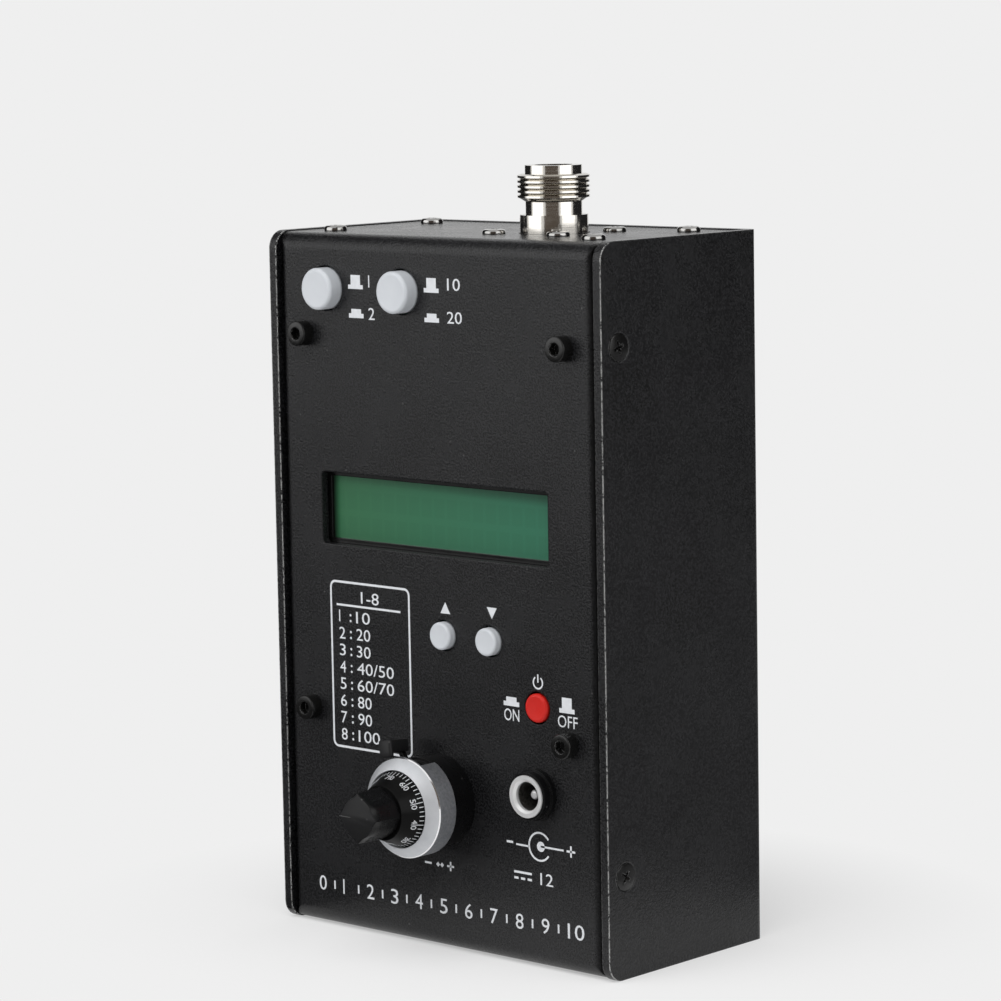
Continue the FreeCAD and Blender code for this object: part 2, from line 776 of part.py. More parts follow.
def make_panel_screws():
    screws = []
    for x, z in post_places():
        face = front_face - cap_head_height
        head = rod_y(x, z, cap_head_radius, face, front_face)
        screw = head.fuse(rod_y(x, z, m3_radius, front_face, front_face + panel_screw_reach)).removeSplitter()
        rim_edges = [edge for edge in screw.Edges
                     if abs(edge.BoundBox.YMin - face) < 1e-6 and abs(edge.BoundBox.YMax - face) < 1e-6]
        screw = screw.makeFillet(0.25, rim_edges)
        screws.append(screw.cut(hexagon_y(x, z, cap_socket_flats, face - 1, face + cap_socket_depth)))
    return screws


def pan_screw_y(x, z, seat, direction, radius, head_radius, head_height, reach):
    """Pan-head screw along Y; direction is where its head points."""
    head = rod_y(x, z, head_radius, seat, seat + direction * head_height)
    screw = head.fuse(rod_y(x, z, radius, seat, seat - direction * reach)).removeSplitter()
    top = seat + direction * head_height
    low = top - direction * recess_depth * 0.8
    arm = head_radius * 0.55
    half = recess_width / 2
    return cut_all(screw, [block(x - arm, x + arm, low, top + direction, z - half, z + half),
                           block(x - half, x + half, low, top + direction, z - arm, z + arm)])


def make_board_screws():
    return [pan_screw_y(x, z, board_back, 1, m3_radius, pan_head_radius, pan_head_height,
                        board_thickness + board_screw_reach) for x, z in post_places()]


def make_display_bezel():
    half_w = bezel_width / 2
    half_h = bezel_height / 2
    outer = block(display_x - half_w, display_x + half_w, bezel_front, display_board_front,
                  display_z - half_h, display_z + half_h)
    half_w -= bezel_sheet
    half_h -= bezel_sheet
    hollow = block(display_x - half_w, display_x + half_w, bezel_front + bezel_sheet, display_board_front,
                   display_z - half_h, display_z + half_h)
    view = block(display_x - view_width / 2, display_x + view_width / 2, bezel_front - 1,
                 display_board_front, display_z - view_height / 2, display_z + view_height / 2)
    return cut_all(outer, [hollow, view])


def display_filling(y0, y1):
    half_w = bezel_width / 2 - bezel_sheet - glass_gap
    half_h = bezel_height / 2 - bezel_sheet - glass_gap
    return block(display_x - half_w, display_x + half_w, y0, y1, display_z - half_h, display_z + half_h)


def make_display_glass():
    face = bezel_front + bezel_sheet
    return display_filling(face, face + glass_thickness)


def make_display_light():
    return display_filling(bezel_front + bezel_sheet + glass_thickness, display_board_front)


def make_display_board():
    rise = display_hole_rise + display_hole_inset
    board = block(display_x - display_board_half, display_x + display_board_half,
                  display_board_front, display_board_back, display_z - rise, display_z + rise)
    return cut_all(board, [rod_y(x, z, m25_radius + hole_clearance, display_board_front - 1,
                                 display_board_back + 1) for x, z in display_hole_places()])


def make_display_spacers():
    spacers = []
    for x, z in display_hole_places():
        tube = rod_y(x, z, spacer_radius, display_board_back, board_front)
        spacers.append(tube.cut(rod_y(x, z, m25_radius + thread_gap, display_board_back, board_front)))
    return spacers


def make_display_screws():
    return [pan_screw_y(x, z, display_board_front, -1, m25_radius, small_head_radius, small_head_height,
                        board_thickness + display_screw_reach) for x, z in display_hole_places()]


def make_display_header():
    left = display_x - display_board_half + 2 * display_hole_inset + spacer_radius
    z = display_z + display_hole_rise + display_hole_inset - header_inset
    return block(left, left + header_length, display_board_back, board_front,
                 z - header_width / 2, z + header_width / 2)


# ---- Push buttons ---------------------------------------------------------------------
def round_cap(x, z, radius, face, rear):
    cap = rod_y(x, z, radius, face, rear)
    rim_edges = [edge for edge in cap.Edges
                 if abs(edge.BoundBox.YMin - face) < 1e-6 and abs(edge.BoundBox.YMax - face) < 1e-6]
    return cap.makeFillet(cap_rounding, rim_edges)


def square_bar(x, z, side, y0, y1):
    return block(x - side / 2, x + side / 2, y0, y1, z - side / 2, z + side / 2)


def latching_cap(x, z, radius, proud):
    face = front_face - proud
    rear = face + cap_length
    socket = square_bar(x, z, plunger_square, rear - plunger_in_cap, rear)
    return round_cap(x, z, radius, face, rear).cut(socket)


def latching_plunger(x, z, proud, inside):
    rear = front_face - proud + cap_length
    return square_bar(x, z, plunger_square, rear - plunger_in_cap, switch_front + inside)


def latching_switch(x, z):
    body = square_bar(x, z, switch_square, switch_front, board_front)
    bore = square_bar(x, z, plunger_square + 2 * plunger_gap, switch_front, board_front - switch_floor)
    return body.cut(bore)


def step_cap(x):
    face = front_face - step_proud
    rear = face + step_cap_length
    cap = round_cap(x, step_z, step_radius, face, rear)
    return cap.cut(rod_y(x, step_z, step_stem_radius, face + step_cap_length / 2, rear))


def step_stem(x):
    start = front_face - step_proud + step_cap_length / 2
    return rod_y(x, step_z, step_stem_radius, start, tact_front + stem_in_tact)


def tact_switch(x):
    body = square_bar(x, step_z, tact_square, tact_front, board_front)
    floor = tact_front + tact_hole_depth
    return body.cut(rod_y(x, step_z, step_stem_radius + plunger_gap, tact_front, floor))


# ---- Tuning potentiometer and counting dial -------------------------------------------
def make_pot_body():
    rear = front_inner + pot_length
    body = rod_y(dial_x, dial_z, pot_radius, front_inner, rear)
    hollow = rod_y(dial_x, dial_z, pot_radius - pot_wall, front_inner + pot_wall, rear - pot_wall)
    bore = rod_y(dial_x, dial_z, bushing_radius, front_inner - 1, front_inner + pot_wall)
    stop_tip = front_inner - stop_pin_length
    stop = rod_y(dial_x + stop_pin_offset, dial_z, stop_pin_radius, stop_tip, front_inner)
    return cut_all(body, [hollow, bore]).fuse(stop).removeSplitter()


def make_pot_bushing():
    front = front_inner - bushing_length
    tube = rod_y(dial_x, dial_z, bushing_radius, front, front_inner + pot_wall)
    return tube.cut(rod_y(dial_x, dial_z, shaft_radius + shaft_clearance, front, front_inner + pot_wall))


def make_pot_shaft():
    rear = front_inner + pot_wall + shaft_inside
    return rod_y(dial_x, dial_z, shaft_radius, front_face - shaft_front, rear)


def make_dial_nut():
    seat = front_face - housing_floor
    nut = hexagon_y(dial_x, dial_z, dial_nut_flats, nut_front, seat)
    return nut.cut(rod_y(dial_x, dial_z, bushing_radius + thread_gap, nut_front, seat))


def reach_of_round(radius, offset):
    """How far a round part reaches where a wire leaves it, offset from the part's middle."""
    edge = max(abs(offset) - wire_radius, 0)
    return math.sqrt(radius ** 2 - edge ** 2)


def make_pot_leads():
    """Wires that rise from the potentiometer and turn back to the board."""
    leads = []
    y = board_front - pot_lead_set_off
    bend = min(wire_bend, 0.8 * pot_lead_set_off)
    for offset in (-pot_lead_spacing, 0, pot_lead_spacing):
        x = dial_x + offset
        start = dial_z + reach_of_round(pot_radius, offset)
        leads.append(wire_run([Vector(x, y, start), Vector(x, y, solder_z),
                               Vector(x, board_front, solder_z)], bend))
    return leads


def make_dial_housing():
    bore = bushing_radius + bushing_hole_clearance
    cavity = spigot_radius - housing_wall + (housing_radius - spigot_radius)
    cavity = min(cavity, spigot_radius - housing_wall / 2)
    floor = front_face - housing_floor
    outline = [(bore, front_face), (housing_radius, front_face), (housing_radius, housing_front),
               (spigot_radius, housing_front), (spigot_radius, spigot_front), (cavity, spigot_front),
               (cavity, floor), (bore, floor)]
    housing = turned_y(outline, dial_x, dial_z)
    margin = math.degrees((lever_arm_width / 2 + lever_slot_gap) / spigot_radius)
    slot = wedge_y(housing_radius * 1.2, lever_angle - margin, lever_angle + lever_travel + margin,
                   lever_front - lever_slot_gap, lever_back + lever_slot_gap)
    return housing.cut(slot)


def make_dial_ring():
    outline = [(bezel_ring_bore, housing_front), (bezel_ring_radius, housing_front),
               (bezel_ring_radius, ring_edge), (bezel_ring_mouth, ring_front),
               (bezel_ring_mouth, ring_front + bezel_ring_lip * 1.4),
               (bezel_ring_bore, ring_edge + bezel_ring_lip * 0.4)]
    ring = turned_y(outline, dial_x, dial_z)
    window = wedge_y(bezel_ring_radius * 1.2, -index_half_angle, index_half_angle,
                     ring_edge + bezel_ring_lip, housing_front + 1)
    return ring.cut(window)


def make_turns_counter():
    outline = [(counter_bore, counter_back), (counter_radius, counter_back), (counter_radius, counter_front),
               (counter_bore, counter_front)]
    return turned_y(outline, dial_x, dial_z)


def make_dial_scale():
    edge = bezel_ring_mouth - scale_gap
    outline = [(scale_bore, counter_back), (scale_sleeve_radius, counter_back),
               (scale_sleeve_radius, scale_edge_front + scale_edge), (edge, scale_edge_front + scale_edge),
               (edge, scale_edge_front), (knob_root_radius, scale_front), (scale_bore, scale_front)]
    return turned_y(outline, dial_x, dial_z)


def make_knob():
    neck = scale_bore - knob_neck_gap
    bore = shaft_radius + knob_bore_gap
    shaft_end = front_face - shaft_front
    outline = [(bore, counter_back), (neck, counter_back), (neck, scale_front),
               (knob_root_radius, scale_front), (knob_core_radius, knob_face + knob_chamfer),
               (knob_core_radius - knob_chamfer, knob_face), (0, knob_face),
               (0, shaft_end - knob_bore_gap), (bore, shaft_end - knob_bore_gap)]
    core = turned_y(outline, dial_x, dial_z)
    fins = [about_dial(make_fin(), 360.0 * i / knob_fins) for i in range(knob_fins)]
    knob = core.fuse(fins).removeSplitter()
    set_screw_hole = Part.makeCylinder(set_screw_radius + thread_gap, knob_root_radius * 1.2,
                                       Vector(dial_x, set_screw_y(), dial_z), Vector(0, 0, -1))
    return knob.cut(set_screw_hole)


def make_fin():
    """A fin of the knob, at the top: a wedge that leans in towards the knob's face."""
    lean = knob_root_radius - fin_start - knob_fin_radius
    crest = dial_z + knob_fin_radius + lean
    root = dial_z + fin_root_radius + lean
    spread = 1.3                # carries the wedge's sides on into the core
    deep = crest - (crest - root) * spread
    corners = [Vector(dial_x, scale_front, crest),
               Vector(dial_x + fin_half_width * spread, scale_front, deep),
               Vector(dial_x - fin_half_width * spread, scale_front, deep)]
    wedge = Part.Face(Part.makePolygon(corners + corners[:1]))
    return wedge.extrude(Vector(0, knob_face - scale_front, -lean))


def set_screw_y():
    return (scale_front + front_face - shaft_front) / 2


def make_set_screw():
    length = (knob_root_radius + knob_core_radius) / 2 - shaft_radius
    start = Vector(dial_x, set_screw_y(), dial_z - shaft_radius)
    screw = Part.makeCylinder(set_screw_radius, length, start, Vector(0, 0, -1))
    bottom = dial_z - shaft_radius - length
    return screw.cut(hexagon_z(dial_x, set_screw_y(), set_screw_radius, bottom, bottom + length / 2))


def make_lock_lever():
    outline = [(lever_bore, lever_back), (lever_ring_radius, lever_back), (lever_ring_radius, lever_front),
               (lever_bore, lever_front)]
    ring = turned_y(outline, dial_x, dial_z)
    half = lever_arm_width / 2
    start = (lever_bore + lever_ring_radius) / 2
    arm = block(dial_x - half, dial_x + half, lever_front, lever_back, dial_z + start, dial_z + lever_arm_end)
    return ring.fuse(about_dial(arm, lever_angle)).removeSplitter()


def make_lever_cap():
    half = lever_cap_width / 2
    rear = lever_back + lever_cap_wall
    cap = block(dial_x - half, dial_x + half, rear - lever_cap_depth, rear,
                dial_z + lever_cap_start, dial_z + lever_cap_end)
    middle = Vector(dial_x, 0, dial_z + (lever_cap_start + lever_cap_end) / 2)
    cap.rotate(middle, Vector(0, 1, 0), lever_cap_turn)
    half = lever_arm_width / 2
    slot = block(dial_x - half, dial_x + half, lever_front, lever_back,
                 dial_z + lever_cap_start - 1, dial_z + lever_arm_end)
    return about_dial(cap.cut(slot), lever_angle)


# ---- DC inlet -------------------------------------------------------------------------
def make_inlet_body():
    face = front_face - inlet_proud
    rear = front_inner + inlet_length
    seat_bottom = face + sleeve_seat
    outer = sleeve_bore + sleeve_wall
    sleeve_end = face - sleeve_proud + sleeve_length
    outline = [(outer, seat_bottom), (sleeve_radius, seat_bottom), (sleeve_radius, face),
               (inlet_radius, face),
               (inlet_radius, front_face - inlet_flange), (inlet_flange_radius, front_face - inlet_flange),
               (inlet_flange_radius, front_face), (inlet_radius, front_face), (inlet_radius, rear),
               (inlet_pin_radius, rear), (inlet_pin_radius, rear - inlet_floor),
               (sleeve_bore, rear - inlet_floor), (sleeve_bore, sleeve_end), (outer, sleeve_end)]
    return turned_y(outline, inlet_x, inlet_z)


def make_inlet_sleeve():
    rim_front = front_face - inlet_proud - sleeve_proud
    rim_back = front_face - inlet_proud + sleeve_seat
    outer = sleeve_bore + sleeve_wall
    outline = [(sleeve_mouth, rim_front), (sleeve_radius, rim_front), (sleeve_radius, rim_back),
               (outer, rim_back), (outer, rim_front + sleeve_length),
               (sleeve_bore, rim_front + sleeve_length),
               (sleeve_bore, rim_front + (sleeve_mouth - sleeve_bore))]
    return turned_y(outline, inlet_x, inlet_z)


def make_inlet_pin():
    tip = front_face - inlet_proud - sleeve_proud + inlet_pin_recess
    pin = rod_y(inlet_x, inlet_z, inlet_pin_radius, tip, front_inner + inlet_length)
    rim_edges = [edge for edge in pin.Edges
                 if abs(edge.BoundBox.YMin - tip) < 1e-6 and abs(edge.BoundBox.YMax - tip) < 1e-6]
    return pin.makeFillet(inlet_pin_radius * 0.6, rim_edges)


def make_inlet_nut():
    rear = front_inner + inlet_nut_height
    nut = hexagon_y(inlet_x, inlet_z, inlet_nut_flats, front_inner, rear)
    return nut.cut(rod_y(inlet_x, inlet_z, inlet_radius + thread_gap, front_inner, rear))


def make_inlet_leads():
    """Wires that leave the inlet's side, rise beside the power switch and turn back to the board."""
    leads = []
    y = front_inner + inlet_length - inlet_lead_inset
    side = min(inlet_x - inlet_radius, power_x - switch_square / 2) - inlet_lead_gap - wire_radius
    for offset in (inlet_lead_spacing / 2, -inlet_lead_spacing / 2):
        z = inlet_z + offset
        start = inlet_x - reach_of_round(inlet_radius, offset)
        x = side - inlet_lead_spacing / 2 + offset
        leads.append(wire_run([Vector(start, y, z), Vector(x, y, z), Vector(x, y, solder_z),
                               Vector(x, board_front, solder_z)], wire_bend))
    return leads


# ---- Parts on the back of the board ---------------------------------------------------
def on_board(x, drop, size):
    """A block standing on the back of the board; drop is its middle below the board's top."""
    width, rise, height = size
    z = board_top - drop
    return block(x - width / 2, x + width / 2, board_back, board_back + rise, z - height / 2, z + height / 2)


def make_shield():
    outer = on_board(shield_x, shield_drop, shield_size)
    width, rise, height = shield_size
    inner = on_board(shield_x, shield_drop,
                     (width - 2 * shield_sheet, rise - shield_sheet, height - 2 * shield_sheet))
    return outer.cut(inner)


def make_coils():
    z = board_top - coil_drop
    y = board_back + coil_section
    return [Part.makeTorus(coil_radius, coil_section, Vector(board_left + inset, y, z), Vector(0, 1, 0))
            for inset in coil_insets]


def make_capacitors():
    z = board_top - capacitor_drop
    top = board_back + capacitor_height
    return [rod_y(board_left + inset, z, capacitor_radius, board_back, top) for inset in capacitor_insets]


def make_regulator():
    x = board_right - regulator_inset
    body = on_board(x, regulator_drop, regulator_size)
    tab_drop = regulator_drop - (regulator_size[2] + regulator_tab[2]) / 2
    return body.fuse(on_board(x, tab_drop, regulator_tab)).removeSplitter()


# ---- Write every piece ----------------------------------------------------------------
save("front_shell", [make_front_shell()])
save("back_shell", [make_back_shell()])
save("case_screws", make_case_screws())
save("side_screws", make_side_screws())
save("clinch_nuts", make_clinch_nuts())

save("n_socket_body", [make_socket_body()])
save("n_socket_insulator", [make_socket_insulator()])
save("n_socket_contact", [make_socket_contact()])
save("n_flange_screws", make_flange_screws())
save("n_flange_nuts", make_flange_nuts())
save("antenna_lead", [make_antenna_lead()])

save("main_board", [make_main_board()])
save("board_posts", make_posts())
save("panel_cap_screws", make_panel_screws())
save("board_screws", make_board_screws())

save("display_bezel", [make_display_bezel()])
save("display_glass", [make_display_glass()])
save("display_light_guide", [make_display_light()])
save("display_board", [make_display_board()])
save("display_spacers", make_display_spacers())
save("display_screws", make_display_screws())
save("display_header", [make_display_header()])

mode_inside = plunger_in_switch - mode_travel
save("left_mode_button", [latching_cap(mode_left_x, mode_z, mode_radius, mode_proud)])
save("left_mode_plunger", [latching_plunger(mode_left_x, mode_z, mode_proud, mode_inside)])
save("right_mode_button", [latching_cap(mode_right_x, mode_z, mode_radius, mode_proud)])
save("right_mode_plunger", [latching_plunger(mode_right_x, mode_z, mode_proud, mode_inside)])
save("mode_switches", [latching_switch(x, mode_z) for x in (mode_left_x, mode_right_x)])
save("power_button", [latching_cap(power_x, power_z, power_radius, power_proud)])
save("power_plunger", [latching_plunger(power_x, power_z, power_proud, plunger_in_switch)])
save("power_switch", [latching_switch(power_x, power_z)])
save("up_button", [step_cap(up_x)])
save("up_stem", [step_stem(up_x)])
save("down_button", [step_cap(down_x)])
save("down_stem", [step_stem(down_x)])
save("step_switches", [tact_switch(x) for x in (up_x, down_x)])

save("pot_body", [make_pot_body()])
save("pot_bushing", [make_pot_bushing()])
save("pot_shaft", [make_pot_shaft()])
save("pot_leads", make_pot_leads())
save("dial_nut", [make_dial_nut()])
save("dial_housing", [make_dial_housing()])
save("dial_ring", [make_dial_ring()])
save("turns_counter", [make_turns_counter()])
save("dial_scale", [make_dial_scale()])
save("tuning_knob", [make_knob()])
save("knob_set_screw", [make_set_screw()])
save("lock_lever", [make_lock_lever()])
save("lock_lever_cap", [make_lever_cap()])

save("dc_inlet_body", [make_inlet_body()])
save("dc_inlet_sleeve", [make_inlet_sleeve()])
save("dc_inlet_pin", [make_inlet_pin()])
save("dc_inlet_nut", [make_inlet_nut()])
save("dc_inlet_leads", make_inlet_leads())

save("controller_chip", [on_board(board_left + chip_inset, chip_drop, chip_size)])
save("band_relays", [on_board(board_right - inset, drop, relay_size)
                     for inset in relay_insets for drop in relay_drops])
save("rf_shield", [make_shield()])
save("filter_coils", make_coils())
save("filter_capacitors", make_capacitors())
save("voltage_regulator", [make_regulator()])
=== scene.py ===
# %% [markdown]
# # Dressing an antenna analyzer
# The analyzer is a folded sheet case with a coaxial socket on top, a two-line display, five push
# buttons, a power inlet and a ten-turn counting dial. Its construction already exists as solids, one
# for each real piece, and they are loaded here as a frame that never moves. The lesson adds what the
# eye wants: screws with real recesses, soft-edged buttons, printed marks and worn finishes. Lengths
# below are in metres, as everywhere in Blender, so a value in millimetres is multiplied by mm.

# %% Load the frame
import json
import math
import bmesh
import bpy
from mathutils import Matrix, Vector


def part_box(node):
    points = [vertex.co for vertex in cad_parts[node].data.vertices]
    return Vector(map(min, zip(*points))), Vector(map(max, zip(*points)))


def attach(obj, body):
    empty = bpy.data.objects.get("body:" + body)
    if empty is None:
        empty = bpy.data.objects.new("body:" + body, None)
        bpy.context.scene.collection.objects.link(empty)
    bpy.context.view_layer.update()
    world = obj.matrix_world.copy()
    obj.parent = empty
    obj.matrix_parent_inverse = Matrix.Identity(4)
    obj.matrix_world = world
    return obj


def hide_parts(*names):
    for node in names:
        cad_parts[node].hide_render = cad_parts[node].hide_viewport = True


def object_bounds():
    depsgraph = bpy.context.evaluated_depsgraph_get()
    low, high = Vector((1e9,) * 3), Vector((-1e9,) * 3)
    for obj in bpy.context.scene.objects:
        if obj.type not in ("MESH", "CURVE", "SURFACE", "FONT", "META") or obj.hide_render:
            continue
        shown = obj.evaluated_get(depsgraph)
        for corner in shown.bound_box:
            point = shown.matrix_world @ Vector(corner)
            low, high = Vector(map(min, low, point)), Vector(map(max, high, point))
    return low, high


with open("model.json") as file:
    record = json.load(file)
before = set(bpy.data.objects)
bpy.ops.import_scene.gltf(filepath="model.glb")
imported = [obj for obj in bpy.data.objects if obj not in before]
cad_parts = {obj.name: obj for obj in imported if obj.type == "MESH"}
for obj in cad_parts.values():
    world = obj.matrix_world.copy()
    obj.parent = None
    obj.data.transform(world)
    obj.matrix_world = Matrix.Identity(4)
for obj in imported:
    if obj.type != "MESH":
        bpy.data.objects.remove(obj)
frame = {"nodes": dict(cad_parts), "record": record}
cad_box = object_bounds()
nodes = frame["nodes"]
mm = 0.001

# %% [markdown]
# ## The camera
# A product is best seen from a good distance through a long lens, which keeps the case's
# upright edges nearly parallel. The camera stands to the right of the panel and a little above it.
# A camera looks along its own minus Z, so its matrix is written from three directions: to its right,
# up, and backwards. Rolling it a degree is a small turn of the first two.

# %% Set up the camera
camera_turn = math.radians(42.365)
camera_rise = math.radians(7.301)
camera_roll = math.radians(-0.995)
camera_place = Vector((0.54993, -0.60731, 0.20029))

backwards = Vector((math.sin(camera_turn) * math.cos(camera_rise),
                    -math.cos(camera_turn) * math.cos(camera_rise), math.sin(camera_rise)))
level_right = Vector((0, 0, 1)).cross(backwards).normalized()
level_up = backwards.cross(level_right)
right = math.cos(camera_roll) * level_right + math.sin(camera_roll) * level_up
upwards = math.cos(camera_roll) * level_up - math.sin(camera_roll) * level_right
bpy.ops.object.camera_add()
camera = bpy.context.object
camera.name = "product_camera"
camera.matrix_world = Matrix((right, upwards, backwards)).transposed().to_4x4()
camera.matrix_world.translation = camera_place
camera.data.lens = 136.09
camera.data.sensor_width = 36.0
bpy.context.scene.camera = camera
print("camera stands", round(camera_place.length, 3), "m from the foot of the case")

# %% [markdown]
# ## Nodes for the finishes
# Every finish is a material made of nodes. Writing each link by hand is long, so a helper adds one
# node, sets its plain values and links the sockets that it is given. A second helper opens a node
# group: a small machine with named inputs and outputs that many materials share, which is how one
# kind of wear or grain is built once and then used with other values on paint, steel and plastic.

# %% Helpers for node trees
def feed(tree, socket, value):
    """Link a socket to another node's output, or set its plain value."""
    if isinstance(value, bpy.types.NodeSocket):
        tree.links.new(value, socket)
    else:
        socket.default_value = value


def add_node(tree, kind, inputs=None, **settings):
    """Add a node; inputs maps a socket's name or number to a value or to another node's output."""
    made = tree.nodes.new("ShaderNode" + kind)
    for key, value in settings.items():
        setattr(made, key, value)
    for key, value in (inputs or {}).items():
        feed(tree, made.inputs[key], value)
    return made


def wire(tree, node, **inputs):
    """Feed the named inputs of a node; the names are written with _ for a space."""
    for key, value in inputs.items():
        feed(tree, node.inputs[key.replace("_", " ")], value)


def maths(tree, operation, *values, clamp=False):
    """One arithmetic step; returns its output."""
    return add_node(tree, "Math", dict(enumerate(values)), operation=operation, use_clamp=clamp).outputs[0]


def times(tree, *values, clamp=False):
    return maths(tree, "MULTIPLY", *values, clamp=clamp)


def vector_maths(tree, operation, inputs, output="Vector"):
    return add_node(tree, "VectorMath", inputs, operation=operation).outputs[output]


def blended(tree, mask, low, high):
    """A colour that goes from low to high as the mask goes from 0 to 1."""
    mix = add_node(tree, "Mix", {0: mask}, data_type="RGBA")
    for number, colour in ((6, low), (7, high)):
        feed(tree, mix.inputs[number], (*colour, 1.0) if isinstance(colour, tuple) else colour)
    return mix.outputs[2]


def ranged(tree, value, low, high, start=0.0, end=1.0):
    """Map start..end of a value onto low..high."""
    return add_node(tree, "MapRange", {"Value": value, "From Min": start, "From Max": end,
                                       "To Min": low, "To Max": high}).outputs[0]


def object_place(tree):
    return add_node(tree, "TexCoord").outputs["Object"]


def split(tree, vector):
    """The X, Y and Z of a place."""
    return add_node(tree, "SeparateXYZ", {0: vector}).outputs


def red_of(tree, colour):
    return add_node(tree, "SeparateColor", {0: colour}).outputs[0]


def noise(tree, scale, detail, roughness):
    """Cloudy noise that is fixed to the piece it colours."""
    return add_node(tree, "TexNoise", {"Vector": object_place(tree), "Scale": scale, "Detail": detail,
                                       "Roughness": roughness}).outputs[0]


def bevelled(tree, radius):
    """The direction the surface faces, turned smoothly round its edges."""
    return add_node(tree, "Bevel", {"Radius": radius}, samples=6).outputs[0]


def bumped(tree, height, depth, strength, **more):
    return add_node(tree, "Bump", {"Strength": strength, "Distance": depth, "Height": height,
                                   **more}).outputs[0]


def open_group(name, inputs, outputs):
    """Start a node group; inputs maps names to numbers or vectors, outputs is a list of names."""
    group = bpy.data.node_groups.new(name, "ShaderNodeTree")
    for title, value in inputs.items():
        kind = "NodeSocketVector" if isinstance(value, tuple) else "NodeSocketFloat"
        group.interface.new_socket(name=title, in_out="INPUT", socket_type=kind).default_value = value
    for title in outputs:
        kind = "NodeSocketVector" if title == "Normal" else "NodeSocketFloat"
        group.interface.new_socket(name=title, in_out="OUTPUT", socket_type=kind)
    return group, group.nodes.new("NodeGroupInput").outputs, group.nodes.new("NodeGroupOutput")


def use_group(tree, group, **inputs):
    """Place a shared group in a material and return its outputs."""
    made = add_node(tree, "Group", node_tree=group)
    wire(tree, made, **inputs)
    return made.outputs


# %% [markdown]
# ## Shared effects
# No real edge is perfectly sharp, and no surface is perfectly even. Five effects cover this whole
# object. *Skin* rounds the edges for the light and adds a fine grain. *Edge wear* finds where the
# surface turns sharply and breaks that line up with noise, as paint rubs off. *Turning lines* are the
# fine rings that a lathe leaves. *Mottle* is slow unevenness for roughness and colour. *Specks* are
# sparse dots of dust or metal.

# %% Skin: soft edges and a fine grain
skin, given, out = open_group(
    "skin", {"Scale": 2500.0, "Depth": 0.00002, "Strength": 0.3, "Edge": 0.0002, "Detail": 3.0},
    ("Value", "Normal"))
grain = noise(skin, given["Scale"], given["Detail"], 0.6)
soft_edge = bevelled(skin, given["Edge"])
wire(skin, out, Value=grain,
     Normal=bumped(skin, grain, given["Depth"], given["Strength"], Normal=soft_edge))

# %% Edge wear: a broken line along sharp edges
edge_wear, given, out = open_group("edge_wear", {"Width": 0.0004, "Scale": 900.0, "Amount": 0.5},
                                   ("Mask",))
turned_normal = bevelled(edge_wear, given["Width"])
flat_normal = add_node(edge_wear, "NewGeometry").outputs["Normal"]
agreement = vector_maths(edge_wear, "DOT_PRODUCT", {0: turned_normal, 1: flat_normal}, "Value")
sharpness = ranged(edge_wear, agreement, 1.0, 0.0, 0.72, 0.99)
rubs = noise(edge_wear, given["Scale"], 5.0, 0.75)
limit = maths(edge_wear, "SUBTRACT", 0.78, times(edge_wear, given["Amount"], 0.4))
broken = ranged(edge_wear, maths(edge_wear, "SUBTRACT", rubs, limit), 0.0, 1.0, 0.0, 0.05)
wire(edge_wear, out, Mask=times(edge_wear, sharpness, broken, clamp=True))

# %% Turning lines, mottle and specks
turning_lines, given, out = open_group(
    "turning_lines", {"Centre": (0, 0, 0), "Axis": (0, 1, 0), "Scale": 3000.0, "Depth": 0.000005},
    ("Value", "Normal"))
lines = turning_lines
from_centre = vector_maths(lines, "SUBTRACT", {0: object_place(lines), 1: given["Centre"]})
along = vector_maths(lines, "DOT_PRODUCT", {0: from_centre, 1: given["Axis"]}, "Value")
on_axis = vector_maths(lines, "SCALE", {0: given["Axis"], "Scale": along})
outwards = vector_maths(lines, "SUBTRACT", {0: from_centre, 1: on_axis})
radius = vector_maths(lines, "LENGTH", {0: outwards}, "Value")
ring_place = times(lines, maths(lines, "ADD", radius, along), given["Scale"])
rings = add_node(lines, "TexNoise", {"W": ring_place, "Scale": 1.0, "Detail": 4.0, "Roughness": 0.7},
                 noise_dimensions="1D").outputs[0]
wire(lines, out, Value=rings, Normal=bumped(lines, rings, given["Depth"], 0.5))

mottle, given, out = open_group("mottle", {"Scale": 60.0, "Low": 0.0, "High": 1.0}, ("Value",))
clouds = noise(mottle, given["Scale"], 6.0, 0.62)
wire(mottle, out, Value=ranged(mottle, clouds, given["Low"], given["High"], 0.3, 0.7))

specks, given, out = open_group("specks", {"Scale": 1500.0, "Amount": 0.3}, ("Mask",))
spots = add_node(specks, "TexVoronoi", {"Vector": object_place(specks), "Scale": given["Scale"]}).outputs
size = ranged(specks, spots["Distance"], 1.0, 0.0, 0.10, 0.22)
chance = maths(specks, "GREATER_THAN", red_of(specks, spots["Color"]),
               maths(specks, "SUBTRACT", 1.0, given["Amount"]))
wire(specks, out, Mask=times(specks, size, chance, clamp=True))
print("shared effects:", [group.name for group in bpy.data.node_groups])

# %% [markdown]
# ## Finishes
# The frame's record names a material slot for every piece. Each slot gets one material here. Paint,
# plastic and metal differ in only a few things: the base colour, how rough and how metallic the
# surface is, how deep its grain is, and how it wears. So three recipes make most of them, and the few
# special ones, such as the display and the circuit board, are written out. Paint has two more
# marks that depend on the place: a corner that hands rub, and painted shade in the seam where the
# front panel bends back beside the side plates.

# %% The three recipes
finishes = {}


def new_finish(slot):
    """A material with one Principled shader, filed under the slot's name."""
    material = bpy.data.materials.new(slot + "_finish")
    material.use_nodes = True
    finishes[slot] = material
    return material.node_tree, material.node_tree.nodes["Principled BSDF"]


def grey(value):
    return (value, value, value)


def mottled(tree, scale, low=0.0, high=1.0):
    return use_group(tree, mottle, Scale=scale, Low=low, High=high)["Value"]


